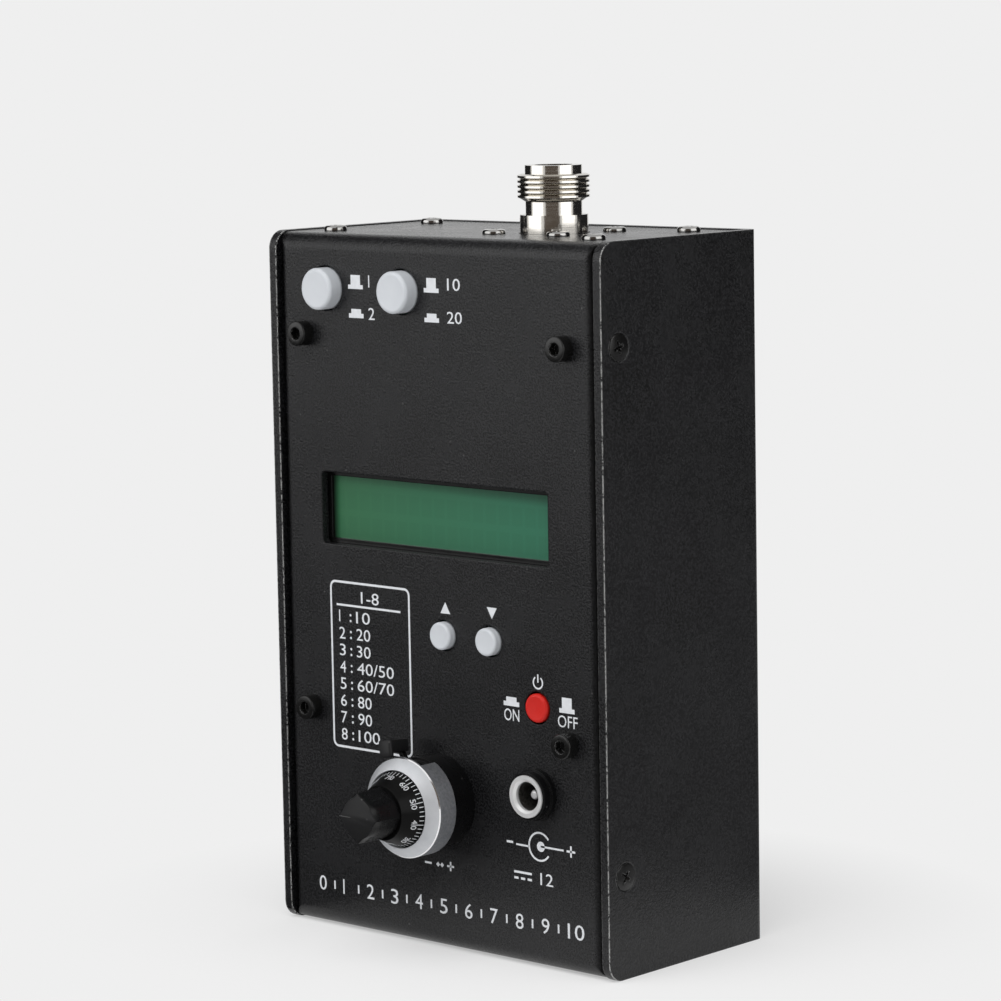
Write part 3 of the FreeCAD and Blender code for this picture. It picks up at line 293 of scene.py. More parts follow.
def speckled(tree, scale, amount):
    return use_group(tree, specks, Scale=scale, Amount=amount)["Mask"]


def grained(tree, grain):
    """The skin with a grain of (scale, depth, strength, edge)."""
    return use_group(tree, skin, Scale=grain[0], Depth=grain[1], Strength=grain[2], Edge=grain[3])


def painted(slot, colour, tint, roughness, grain, bare, wear, specular=0.35, lint=0.04,
            outer=None, gap=None):
    """A coat of paint: grain is (scale, depth, strength, edge), wear is (width, scale, amount).
    The hollows of the grain are darker than its tops. With outer, which is a box's far side and its
    front, the right-hand corners are rubbed through only on that side, and hardly at all further
    back. With gap, painted shade makes the coat dark and dull from its first distance from the
    middle to its second, where the panel bends back into the shade of the side plates."""
    tree, shader = new_finish(slot)
    surface = grained(tree, grain)
    tops = ranged(tree, surface["Value"], 0.0, 0.7, 0.42, 0.58)
    coat = blended(tree, maths(tree, "ADD", mottled(tree, 45.0, high=0.3), tops), colour, tint)
    coat = blended(tree, times(tree, speckled(tree, 800.0, lint), 0.10), coat, grey(0.5))
    rubbed = use_group(tree, edge_wear, Width=wear[0], Scale=wear[1], Amount=wear[2])["Mask"]
    place = split(tree, object_place(tree))
    if outer:
        side, front = outer
        corner = ranged(tree, place["X"], 0.12, 1.0, side - 0.9 * mm, side - 0.5 * mm)
        corner = maths(tree, "MAXIMUM", corner, maths(tree, "LESS_THAN", place["X"], 0.0))
        handled = ranged(tree, place["Y"], 1.0, 0.1, front + 2.5 * mm, front + 3.0 * mm)
        rubbed = times(tree, rubbed, times(tree, corner, handled))
    metal = times(tree, rubbed, 0.6)
    # Painted shade: between the two distances the coat turns near black and fully metallic, so it stays dark
    # where the side plates shade the panel's bends.
    if gap:
        painted_gap_shade = ranged(tree, maths(tree, "ABSOLUTE", place["X"]), 0.0, 1.0, gap[0], gap[1])
        coat = blended(tree, painted_gap_shade, coat, grey(0.0012))
        metal = maths(tree, "MAXIMUM", metal, painted_gap_shade)
    wire(tree, shader, Base_Color=blended(tree, rubbed, coat, bare), Metallic=metal,
         Roughness=mottled(tree, 90.0, *roughness), Normal=surface["Normal"], Specular_IOR_Level=specular)


def moulded(slot, colour, tint, roughness, grain=(2200.0, 0.00001, 0.2, 0.0002), specular=0.5, dust=0.1):
    """Moulded plastic: an even colour with a little drift, a faint grain and dust in places."""
    tree, shader = new_finish(slot)
    body = blended(tree, mottled(tree, 140.0), colour, tint)
    body = blended(tree, times(tree, speckled(tree, 700.0, 0.06), dust), body, grey(0.55))
    wire(tree, shader, Base_Color=body, Roughness=mottled(tree, 260.0, *roughness),
         Normal=grained(tree, grain)["Normal"], Specular_IOR_Level=specular)


def plated(slot, colour, tint, roughness, grain=(1800.0, 0.000004, 0.25, 0.00015), stain=None):
    """Bare or plated metal: fine scratches in the grain, and a tint where it has dulled."""
    tree, shader = new_finish(slot)
    metal = blended(tree, mottled(tree, 210.0), colour, tint)
    if stain:
        metal = blended(tree, speckled(tree, 900.0, 0.12), metal, stain)
    wire(tree, shader, Base_Color=metal, Roughness=mottled(tree, 500.0, *roughness),
         Normal=grained(tree, grain)["Normal"], Metallic=1.0)


# %% Paint and plastics
panel_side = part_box("front_shell")[1].x
plate_front, plate_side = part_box("back_shell")[0].y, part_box("back_shell")[1].x
# The front coat has painted shade in its bends beside the side plates; the side plates' coat is rubbed at
# its right front corner.
for slot, rubbing, outer, gap in (
        ("black_powder_coat", 0.15, None, (panel_side - 2.3 * mm, panel_side - 0.2 * mm)),
        ("back_shell_coat", 0.85, (plate_side, plate_front), None)):
    painted(slot, (0.0010, 0.0010, 0.0012), (0.0160, 0.0160, 0.0172), (0.22, 0.30),
            (2300.0, 0.00011, 1.0, 0.0005), (0.72, 0.72, 0.71), (0.00055, 1500.0, rubbing),
            0.3, 0.01, outer, gap)
painted("black_bezel", grey(0.0020), grey(0.0040), (0.16, 0.26),
        (1500.0, 0.00001, 0.3, 0.0002), grey(0.4), (0.0002, 1500.0, 0.2))
painted("black_steel", grey(0.0030), (0.0060, 0.0058, 0.0055), (0.18, 0.30),
        (2600.0, 0.00001, 0.35, 0.00015), grey(0.32), (0.00018, 2200.0, 0.7), 0.4)
painted("coil_winding", (0.40, 0.10, 0.03), (0.52, 0.17, 0.05), (0.25, 0.38),
        (1400.0, 0.0001, 0.8, 0.0002), (0.75, 0.45, 0.25), (0.0002, 1800.0, 0.4), 0.5)
moulded("black_plastic", (0.0030, 0.0030, 0.0032), (0.0050, 0.0050, 0.0054), (0.22, 0.32), specular=0.2)
moulded("matte_black_plastic", (0.0080, 0.0080, 0.0085), (0.0115, 0.0115, 0.012), (0.4, 0.5), specular=0.25)
moulded("scale_black", grey(0.0015), grey(0.0030), (0.26, 0.36), specular=0.1)
moulded("worn_ink", grey(0.04), grey(0.12), (0.5, 0.6), dust=0.0)
moulded("pale_grey_plastic", (0.50, 0.522, 0.552), (0.535, 0.555, 0.583), (0.34, 0.44), dust=0.0)
moulded("white_plastic", (0.74, 0.74, 0.73), (0.80, 0.80, 0.79), (0.45, 0.55), dust=0.0)
moulded("red_plastic", (0.47, 0.012, 0.008), (0.56, 0.018, 0.012), (0.30, 0.40), specular=0.25, dust=0.0)
moulded("white_ptfe", (0.80, 0.80, 0.78), (0.84, 0.84, 0.82), (0.42, 0.55), dust=0.02)
moulded("black_epoxy", (0.016, 0.016, 0.016), (0.024, 0.024, 0.025), (0.52, 0.64),
        (3200.0, 0.00003, 0.6, 0.0001))
moulded("relay_case", (0.62, 0.58, 0.47), (0.70, 0.66, 0.55), (0.36, 0.48))
moulded("capacitor_sleeve", (0.016, 0.028, 0.09), (0.024, 0.038, 0.12), (0.22, 0.34))
moulded("green_light_guide", (0.05, 0.24, 0.09), (0.07, 0.30, 0.12), (0.18, 0.28))
print("finishes so far:", sorted(finishes))

# %% Metals
plated("zinc_steel", (0.27, 0.27, 0.26), (0.44, 0.43, 0.42), (0.05, 0.13), stain=(0.07, 0.07, 0.06))
plated("gold_plate", (0.80, 0.56, 0.20), (0.88, 0.65, 0.28), (0.14, 0.24))
plated("tinned_copper", grey(0.60), (0.70, 0.69, 0.68), (0.24, 0.38))
plated("turned_brass", (0.62, 0.43, 0.16), (0.72, 0.52, 0.24), (0.20, 0.34), stain=(0.36, 0.24, 0.10))
plated("pot_aluminium", (0.52, 0.52, 0.53), (0.60, 0.60, 0.61), (0.30, 0.44))
plated("shield_steel", (0.56, 0.56, 0.54), (0.66, 0.66, 0.64), (0.22, 0.42), stain=(0.30, 0.28, 0.25))
print("finishes with the metals:", len(finishes))

# %% [markdown]
# ### Lathe-turned metal
# The socket and the dial's ring come off a lathe. Their bright and dark streaks follow the tool's
# path, so the bump is made from rings about the piece's own axis. The socket's axis stands upright,
# and the dial's runs from front to back, so each finish is given the centre that it turns about. A turned
# piece can change its look at one depth: the ring is sandblasted matt behind a bright cut edge. The
# inlet's sleeve has a bright edge at its throat and turns nearly black behind it, a painted shade
# deep in the hole.

# %% Turned finishes
def box_centre(node):
    low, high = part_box(node)
    return (low + high) / 2


def lathe_turned(slot, colour, tint, roughness, centre, axis, line_scale, line_depth, metallic=1.0,
                 blasted_side_and_throat_shade=None):
    """Turned metal. The last argument is a depth and two colours: at that depth the edge is cut bright,
    and behind the edge the metal is matt and has those colours. On the dial ring that is its
    sandblasted side; in the inlet the colours are nearly black, a painted shade deep inside the hole."""
    tree, shader = new_finish(slot)
    lines = use_group(tree, turning_lines, Centre=centre, Axis=axis, Scale=line_scale, Depth=line_depth)
    metal = blended(tree, times(tree, mottled(tree, 160.0), lines["Value"]), colour, tint)
    rough = ranged(tree, lines["Value"], *roughness, 0.3, 0.7)
    if blasted_side_and_throat_shade:
        depth, side_colour, side_tint = blasted_side_and_throat_shade
        back = split(tree, object_place(tree))["Y"]
        cut = ranged(tree, back, 0.0, 1.0, depth - 0.03 * mm, depth)
        behind = ranged(tree, back, 0.0, 1.0, depth + 0.2 * mm, depth + 0.25 * mm)
        metal = blended(tree, cut, metal, (0.95, 0.95, 0.96))
        metal = blended(tree, behind, metal, blended(tree, mottled(tree, 1500.0), side_colour, side_tint))
        polish = times(tree, maths(tree, "SUBTRACT", cut, behind), 0.75)
        rough = times(tree, rough, maths(tree, "SUBTRACT", 1.0, polish))
    wire(tree, shader, Base_Color=metal, Roughness=rough, Normal=lines["Normal"], Metallic=metallic)


socket_centre = box_centre("n_socket_contact")
dial_centre = box_centre("dial_ring")
inlet_centre = box_centre("dc_inlet_sleeve")
ring_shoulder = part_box("dial_ring")[0].y + 2.0 * mm
inlet_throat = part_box("dc_inlet_sleeve")[0].y + 1.0 * mm
upright = (0, 0, 1)
to_back = (0, 1, 0)
lathe_turned("nickel_plate", (0.60, 0.575, 0.53), (0.76, 0.74, 0.70), (0.07, 0.17), socket_centre,
             upright, 2600.0, 0.000003)
lathe_turned("satin_chrome", (0.64, 0.655, 0.68), (0.88, 0.89, 0.91), (0.56, 0.72), dial_centre,
             to_back, 6000.0, 0.000006, 1.0, (ring_shoulder, (0.27, 0.28, 0.30), (0.40, 0.41, 0.43)))
lathe_turned("dull_nickel", grey(0.62), grey(0.78), (0.30, 0.44), inlet_centre, to_back, 5000.0,
             0.000006, 0.5)
# The inlet's sleeve: nickel at the rim and a bright cut edge at the throat, then painted shade, nearly
# black, deeper in the hole.
lathe_turned("inlet_rim_nickel", grey(0.66), grey(0.84), (0.26, 0.42), inlet_centre, to_back, 5000.0,
             0.000010, 0.5, (inlet_throat, (0.010, 0.010, 0.009), (0.110, 0.104, 0.094)))
print("socket turns about", [round(v / mm, 2) for v in socket_centre])

# %% [markdown]
# ### Circuit board and display
# Solder resist is a green lacquer over copper: the tracks show as slightly lighter, raised lines. A
# brick texture makes good right-angled tracks. The display is a glass sandwich lit from behind, so it
# is one smooth green with a soft fall-off towards its edges and sixteen by two faint character cells.
# The edge fall-off is worked out from the distance to the middle of the glass. Below the top edge a
# painted shadow of the bezel darkens the green, and more so towards the right.

# %% Circuit board finish
tree, shader = new_finish("green_laminate")
facing_front = add_node(tree, "Mapping", {"Vector": object_place(tree),
                                          "Rotation": (math.pi / 2, 0, 0)}).outputs[0]
tracks = add_node(tree, "TexBrick",
                  {"Vector": facing_front, "Color1": (1, 1, 1, 1), "Color2": (0.6, 0.6, 0.6, 1),
                   "Mortar": (0, 0, 0, 1), "Scale": 1.0, "Mortar Size": 0.0007, "Mortar Smooth": 0.2,
                   "Brick Width": 0.0110, "Row Height": 0.0035}).outputs[0]
track_mask = red_of(tree, tracks)
lacquer = blended(tree, mottled(tree, 120.0), (0.012, 0.085, 0.030), (0.016, 0.110, 0.038))
wire(tree, shader, Base_Color=blended(tree, times(tree, track_mask, 0.5), lacquer, (0.03, 0.19, 0.07)),
     Roughness=mottled(tree, 300.0, 0.2, 0.34), Normal=bumped(tree, track_mask, 0.00004, 0.5))
print("circuit board finish:", len(tree.nodes), "nodes")

# %% Display finish
view_width = 64.5 * mm
view_height = 13.8 * mm
columns = 16
rows = 2

view_low, view_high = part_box("display_glass")
tree, shader = new_finish("display_glass")
view_middle = (view_low + view_high) / 2
parts = split(tree, vector_maths(tree, "SUBTRACT", {0: object_place(tree), 1: view_middle}))
across = maths(tree, "DIVIDE", parts["X"], view_width)
upward = maths(tree, "DIVIDE", parts["Z"], view_height)


def cells_along(share, count, gap, soft):
    """0 between the character cells that lie along one direction, and 1 inside them."""
    wave = maths(tree, "PINGPONG", times(tree, maths(tree, "ADD", share, 0.5), count), 0.5)
    return ranged(tree, wave, 0.0, 1.0, gap, soft)


cell = times(tree, cells_along(across, columns * 1.08, 0.08, 0.12),
             cells_along(upward, rows * 1.2, 0.12, 0.15))
green = blended(tree, ranged(tree, across, 0.0, 1.0, -0.5, 0.5), (0.029, 0.124, 0.055),
                (0.026, 0.138, 0.081))
green = blended(tree, times(tree, cell, 0.12), green, (0.010, 0.075, 0.036))
side_fall = ranged(tree, maths(tree, "ABSOLUTE", across), 1.0, 0.0, 0.47, 0.50)
# Painted shadow: the bezel's upper edge shades the top of the glass, a little lower on the right.
bezel_shadow_line = maths(tree, "ADD", upward, times(tree, across, 0.12))
lit = times(tree, side_fall, ranged(tree, bezel_shadow_line, 1.0, 0.6, 0.36, 0.50))
wire(tree, shader, Base_Color=blended(tree, lit, (0.002, 0.006, 0.003), green),
     Roughness=mottled(tree, 80.0, 0.30, 0.40), Coat_Weight=0.8, Coat_Roughness=0.06,
     Specular_IOR_Level=0.25)
print("display view:", round(view_width / mm, 1), "by", round(view_height / mm, 1), "mm")

# %% Give every node of the frame its finish
for node in frame["record"]["subparts"]:
    shape = nodes[node["node"]]
    for holder in shape.material_slots:
        holder.material = finishes[node["material_slot"]]
for node, slot in (("back_shell", "back_shell_coat"), ("dc_inlet_sleeve", "inlet_rim_nickel"),
                   ("dc_inlet_pin", "dull_nickel")):
    nodes[node].material_slots[0].material = finishes[slot]
missing = sorted({part["material_slot"] for part in frame["record"]["subparts"]} - set(finishes))
print("nodes dressed:", len(nodes), "slots without a finish:", missing)

# %% [markdown]
# ## Tools for modelling
# Modelling in code follows the hand: add a primitive, go to edit mode, select faces or edges, and use
# an operator on them. An operator works on everything that is selected, so `only` first clears the
# selection. `turned` is the lathe: it starts from one circle, and for every further point of the
# outline it extrudes the circle and resizes it. Most of this object was turned on a lathe or moulded
# in a turned cavity, which is why one such tool makes screws, buttons, rings and the knob.

# %% Selecting and editing
facings = {"up": (0.0, "X"), "down": (math.pi, "X"), "front": (math.pi / 2, "X"),
           "right": (math.pi / 2, "Y"), "left": (-math.pi / 2, "Y")}


def shift(x, y, z):
    return Matrix.Translation((x, y, z))


def turned_to(facing, place, spin=0.0):
    """The matrix that takes a piece from the origin, facing up, to its place."""
    turn, axis = facings[facing]
    return Matrix.Translation(place) @ Matrix.Rotation(turn, 4, axis) @ Matrix.Rotation(spin, 4, "Z")


def only(piece):
    bpy.ops.object.select_all(action="DESELECT")
    piece.select_set(True)
    bpy.context.view_layer.objects.active = piece


def placed(name):
    """Name the newest primitive and put its place and turn into its mesh."""
    piece = bpy.context.object
    only(piece)
    piece.name = name
    piece.data.name = name
    bpy.ops.object.transform_apply(location=True, rotation=True, scale=True)
    return piece


def block(name, size, middle=(0, 0, 0), turn=0.0):
    bpy.ops.mesh.primitive_cube_add(size=1, location=middle, rotation=(0, 0, turn), scale=size)
    return placed(name)


def edit(piece):
    only(piece)
    bpy.ops.object.mode_set(mode="EDIT")


def pick(piece, kind, test):
    """In edit mode, select the vertices, edges or faces that pass a test."""
    bpy.ops.mesh.select_mode(type=kind)
    bpy.ops.mesh.select_all(action="DESELECT")
    mesh = bmesh.from_edit_mesh(piece.data)
    for part in {"VERT": mesh.verts, "EDGE": mesh.edges, "FACE": mesh.faces}[kind]:
        if test(part):
            part.select_set(True)
    bmesh.update_edit_mesh(piece.data)


def pick_all():
    bpy.ops.mesh.select_all(action="SELECT")


def raise_edges(rise):
    """In edit mode, extrude the selected edges upwards."""
    bpy.ops.mesh.extrude_edges_move(TRANSFORM_OT_translate={"value": (0, 0, rise)})


def resize_at(height, factor, **more):
    """In edit mode, resize what is selected about the Z axis at one height."""
    bpy.ops.transform.resize(value=(factor, factor, 1), center_override=(0, 0, height), **more)


def object_mode():
    bpy.ops.object.mode_set(mode="OBJECT")


def leave_outward():
    """Turn every face outwards and leave edit mode."""
    pick_all()
    bpy.ops.mesh.normals_make_consistent(inside=False)
    object_mode()


def moved(piece, matrix):
    piece.data.transform(matrix)
    return piece


def copied(piece, name, matrix):
    """A copy with its own mesh, moved by a matrix."""
    twin = piece.copy()
    twin.data = piece.data.copy()
    twin.name = name
    twin.data.name = name
    bpy.context.collection.objects.link(twin)
    return moved(twin, matrix)


def joined(name, pieces):
    """Join loose pieces into one object."""
    only(pieces[0])
    for piece in pieces:
        piece.select_set(True)
    bpy.ops.object.join()
    pieces[0].name = name
    pieces[0].data.name = name
    return pieces[0]


# %% The lathe
weld = 1e-7


def arc(radius, height, size, start, end, steps=5):
    """Points of a round edge in a turned outline: a centre, a radius and two angles in degrees."""
    turns = [math.radians(start + (end - start) * i / steps) for i in range(steps + 1)]
    return [(radius + size * math.cos(turn), height + size * math.sin(turn)) for turn in turns]


def turned(name, outline, centre, facing="front", sides=64, ring=False):
    """A turned piece. outline holds (radius, height) pairs, and height runs the way it faces.
    A ring's outline comes back to where it starts; any other piece is closed at both ends."""
    radius, height = outline[0]
    bpy.ops.mesh.primitive_circle_add(vertices=sides, radius=radius, location=(0, 0, height),
                                      fill_type="NOTHING" if ring else "NGON")
    piece = placed(name)
    edit(piece)
    bpy.ops.mesh.select_mode(type="EDGE")
    pick_all()
    for next_radius, next_height in outline[1:]:
        raise_edges(next_height - height)
        resize_at(next_height, next_radius / radius)
        radius, height = next_radius, next_height
    if not ring:
        bpy.ops.mesh.edge_face_add()
    pick_all()
    bpy.ops.mesh.remove_doubles(threshold=weld)
    leave_outward()
    return moved(piece, turned_to(facing, centre))


# %% Cutting and finishing
def carve(piece, cutter):
    """Cut one shape out of another and remove the cutter."""
    change = piece.modifiers.new("carve", "BOOLEAN")
    change.object = cutter
    change.operation = "DIFFERENCE"
    change.solver = "EXACT"
    only(piece)
    bpy.ops.object.modifier_apply(modifier="carve")
    bpy.data.objects.remove(cutter, do_unlink=True)
    return piece


def finished(piece, body, slot, *replaced, angle=32, look=None):
    """Shade a piece, give it its body and slot, and hide the nodes that it stands for. Its finish is
    the slot's own, or another that is named in look."""
    only(piece)
    bpy.ops.object.shade_smooth_by_angle(angle=math.radians(angle))
    piece.data.materials.clear()
    piece.data.materials.append(finishes[slot])
    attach(piece, body)
    if replaced:
        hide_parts(*replaced)
    piece.data.materials[0] = finishes[look or slot]
    return piece


print("modelling tools are ready")

# %% [markdown]
# ## Screws
# A pan head is a flat cylinder with a rounded shoulder, and its cross recess is a tapered hole, wide
# at the top. The recess is cut with a boolean: two wedges, one across the other, are taken out of
# the head. One screw is modelled at the origin, facing up, and copied to every hole. The place of
# each hole comes from the frame: a screw's middle lies one head radius inside the corners of the box
# round all of them.

# %% Model the screws once
head_radius = 2.5 * mm
pan_height = 1.2 * mm
low_height = 1.0 * mm
foot_height = 0.2 * mm
thread_radius = 1.47 * mm
thread_length = 6.0 * mm
sunk_radius = 3.0 * mm
origin = (0, 0, 0)


def cross_recess(screw, top, length=2.9 * mm, width=0.75 * mm, depth=0.95 * mm):
    """Cut a cross with two wedges. A wedge is a block whose lower face is made smaller."""
    for turn in (math.pi / 4, -math.pi / 4):
        wedge = block("wedge", (length, width, depth + 0.2 * mm), (0, 0, top - depth / 2 + 0.1 * mm), turn)
        edit(wedge)
        pick(wedge, "FACE", lambda face: face.normal.z < -0.9)
        resize_at(top - depth, 0.45)
        object_mode()
        carve(screw, wedge)
    return screw


def pan_head(name, height):
    """A pan head: upright rim, round shoulder and a crown that is almost flat."""
    shoulder = 0.62 * height
    edge = 0.07 * height
    outline = ([(thread_radius, -thread_length), (thread_radius, 0), (head_radius - edge, 0),
                (head_radius, edge)]
               + arc(head_radius - shoulder, height * 0.97 - shoulder, shoulder, 0, 78, 7)
               + [(1.0 * mm, height * 0.99), (0.4 * mm, height)])
    recess_depth = min(0.95 * mm, 2.5 * height)
    return cross_recess(turned(name, outline, origin, "up", 48), height, depth=recess_depth)


pan_screw = pan_head("pan_screw", pan_height)
low_screw = pan_head("low_screw", low_height)
foot_screw = pan_head("foot_screw", foot_height)
sunk_edge = 0.12 * mm
sunk_outline = [(thread_radius, -thread_length), (thread_radius, -1.65 * mm),
                (sunk_radius - sunk_edge, -sunk_edge), (sunk_radius - sunk_edge, -0.05 * mm),
                (sunk_radius - 0.25 * mm, 0), (0.5 * mm, 0.02 * mm)]
sunk_screw = cross_recess(turned("sunk_screw", sunk_outline, origin, "up", 48), 0.0, 3.2 * mm)
print("pan screw faces:", len(pan_screw.data.polygons), "sunk:", len(sunk_screw.data.polygons))

# %% Copy the screws to their holes
def corners_of(low, high, inset):
    """The middles of four round heads inside a box, seen from above."""
    return [(x, y) for x in (low.x + inset, high.x - inset) for y in (low.y + inset, high.y - inset)]


def put_screws(name, slot, node, places, spin_step, first_spin=0.0):
    """Copy screws to their places, which are (pattern, facing, centre). No two are turned alike."""
    for i, (pattern, facing, centre) in enumerate(places):
        matrix = turned_to(facing, centre, first_spin + spin_step * i)
        finished(copied(pattern, "%s_%d" % (name, i + 1), matrix), "case", slot, node)
    for pattern in {place[0] for place in places}:
        bpy.data.objects.remove(pattern, do_unlink=True)
    print(name + "s placed:", len(places))


low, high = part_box("case_screws")
top_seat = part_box("front_shell")[1].z
holes = corners_of(low, high, head_radius)
put_screws("case_screw", "zinc_steel", "case_screws",
           [(pan_screw, "up", (*hole, top_seat)) for hole in holes]
           + [(foot_screw, "down", (*hole, low.z + foot_height)) for hole in holes], 0.7)
low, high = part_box("n_flange_screws")
put_screws("flange_screw", "zinc_steel", "n_flange_screws",
           [(low_screw, "up", (*hole, high.z - low_height))
            for hole in corners_of(low, high, head_radius)], 1.1, 0.4)
low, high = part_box("side_screws")
side_y = (low.y + high.y) / 2
put_screws("side_screw", "black_steel", "side_screws",
           [(sunk_screw, facing, (x, side_y, z)) for facing, x in (("left", low.x), ("right", high.x))
            for z in (low.z + sunk_radius, high.z - sunk_radius)], 0.9)

# %% [markdown]
# ## Socket-head cap screws
# Four black cap screws go through the panel into the posts that carry the circuit board. The head is
# a cylinder with a turned edge. Its hexagonal socket is cut with a six-sided cylinder, and a shallow
# cone at the mouth gives the small chamfer that catches the light.

# %% Model and place the cap screws
cap_radius = 2.7 * mm
cap_height = 3.0 * mm
cap_rounding = 0.35 * mm
cap_edge = 0.08 * mm
cap_thread = 8.0 * mm
key_flats = 2.5 * mm
key_depth = 1.7 * mm

cap_outline = ([(thread_radius, -cap_thread), (thread_radius, 0), (cap_radius - cap_edge, 0),
                (cap_radius, cap_edge)]
               + arc(cap_radius - cap_rounding, cap_height - cap_rounding, cap_rounding, 0, 90, 4))
cap_screw = turned("cap_screw", cap_outline, origin, "up", 48)
bpy.ops.mesh.primitive_cylinder_add(vertices=6, radius=key_flats / math.sqrt(3), depth=key_depth * 2,
                                    location=(0, 0, cap_height))
carve(cap_screw, placed("key_cutter"))
bpy.ops.mesh.primitive_cone_add(vertices=48, radius1=1.0 * mm, radius2=1.75 * mm, depth=0.75 * mm,
                                location=(0, 0, cap_height - 0.1 * mm))
carve(cap_screw, placed("mouth_cutter"))
low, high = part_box("panel_cap_screws")
panel_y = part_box("front_shell")[0].y
put_screws("panel_cap_screw", "black_steel", "panel_cap_screws",
           [(cap_screw, "front", (x, panel_y, z)) for x in (low.x + cap_radius, high.x - cap_radius)
            for z in (low.z + cap_radius, high.z - cap_radius)], 0.5)

# %% [markdown]
# ## Push buttons
# A moulded cap has no sharp edge: its rim is a quarter round, and its face is dished by a tenth of a
# millimetre so that a finger finds the middle. Each cap is turned to the size of its node in the
# frame, so the five buttons come from one function. They ride on their own bodies.

# %% Turn the five caps
def push_button(node, body, slot, rounding):
    low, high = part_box(node)
    radius = (high.x - low.x) / 2
    length = high.y - low.y
    inner = radius - rounding
    outline = ([(radius - 0.15 * mm, 0), (radius, 0.15 * mm)]
               + arc(inner, length - rounding, rounding, 0, 90, 8)
               + [(inner * share, length - dish * mm)
                  for share, dish in ((0.96, 0.01), (0.8, 0.05), (0.5, 0.08), (0.15, 0.09))])
    centre = ((low.x + high.x) / 2, high.y, (low.z + high.z) / 2)
    finished(turned(node + "_cap", outline, centre, "front", 96), body, slot, node)


pale = "pale_grey_plastic"
for body, slot, rounding in (("left_mode", pale, 0.75), ("right_mode", pale, 0.75), ("up", pale, 0.55),
                             ("down", pale, 0.55), ("power", "red_plastic", 0.6)):
    push_button(body + "_button", body, slot, rounding * mm)

# %% [markdown]
# ## The counting dial
# The dial has four visible pieces round one axis. A satin ring with a sloping face and a window in
# its top stays put. Inside it a black cone turns with the knob and carries fifty divisions. The
# knob stands on the cone: its face has four fins, made by dragging four points of a circle outwards
# with proportional editing, which pulls the neighbours along less and less. Bridging that star to a
# plain circle at the knob's foot lets the fins run out smoothly. The counter ring behind the window
# shows whole turns.

# %% The satin ring
def dial_sizes(low, high):
    """Depth, radius and foot of a piece that turns about the dial's axis."""
    foot = Vector((dial_centre.x, high.y, dial_centre.z))
    return high.y - low.y, (high.x - low.x) / 2, foot


ring_depth, ring_radius, dial_foot = dial_sizes(*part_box("dial_ring"))
ring_bore = 9.6 * mm
ring_mouth = 8.35 * mm
foot_edge = 0.12 * mm
cut_edge = 0.20 * mm
side_depth = ring_depth - 2.0 * mm
window_half = math.radians(27)
window_height = 4.4 * mm

ring_outline = [(ring_bore, 0), (ring_radius - foot_edge, 0), (ring_radius, foot_edge),
                (ring_radius, side_depth - 0.22 * mm), (ring_radius - cut_edge, side_depth),
                (ring_mouth + 0.30 * mm, ring_depth - 0.06 * mm), (ring_mouth + 0.15 * mm, ring_depth),
                (ring_mouth, ring_depth - 0.12 * mm), (ring_mouth, ring_depth - 0.98 * mm),
                (ring_bore, side_depth - 0.28 * mm), (ring_bore, 0)]
dial_ring = turned("dial_ring_turned", ring_outline, dial_foot, "front", 128, ring=True)
window_depth = side_depth - 0.7 * mm
window_width = 2 * ring_radius * math.sin(window_half)
window_middle = dial_foot + Vector((0, 0.5 * mm - window_depth / 2, ring_radius))
carve(dial_ring, block("window_cutter", (window_width, window_depth + 1 * mm, window_height), window_middle))
finished(dial_ring, "case", "satin_chrome", "dial_ring", angle=25)
print("dial ring radius:", round(ring_radius / mm, 2), "mm, depth:", round(ring_depth / mm, 2), "mm")

# %% The cone that carries the scale
cone_depth, cone_edge, cone_foot = dial_sizes(*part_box("dial_scale"))
sleeve_radius = 6.8 * mm
cone_top = 5.9 * mm
cone_rise = 4.9 * mm
cone_bore = 5.0 * mm
cone_lip = cone_depth - cone_rise
sleeve_depth = cone_lip - 1.1 * mm

cone_outline = [(cone_bore, 0), (sleeve_radius, 0), (sleeve_radius, sleeve_depth),
                (cone_edge, sleeve_depth), (cone_edge, cone_lip - 0.06 * mm),
                (cone_edge - 0.05 * mm, cone_lip), (cone_top, cone_depth), (cone_bore, cone_depth),
                (cone_bore, 0)]
dial_cone = turned("dial_cone", cone_outline, cone_foot, "front", 128, ring=True)
finished(dial_cone, "tuner", "black_plastic", "dial_scale", angle=25, look="scale_black")
cone_length = math.hypot(cone_edge - cone_top, cone_rise)
cone_lean = math.atan2(cone_edge - cone_top, cone_rise)
print("cone slope:", round(cone_length / mm, 2), "mm long,", round(math.degrees(cone_lean), 1), "degrees")

# %% [markdown]
# ### Divisions and numbers
# The scale has forty short lines and ten long ones a turn, with a number across every long line. Each
# mark is modelled flat at the origin and carried to the cone by one matrix: lean it with the slope,
# push it out to the slope's radius, and turn it about the dial's axis. The numbers are Blender's own
# text, turned into a mesh, because a font object has no thickness that an export can use.

# %% Helpers for print
film = 0.025 * mm
letter_share = 0.86

tree, shader = new_finish("white_ink")
wire(tree, shader, Roughness=mottled(tree, 1500.0, 0.45, 0.6),
     Base_Color=blended(tree, mottled(tree, 900.0), (0.57, 0.585, 0.61), (0.66, 0.675, 0.70)))


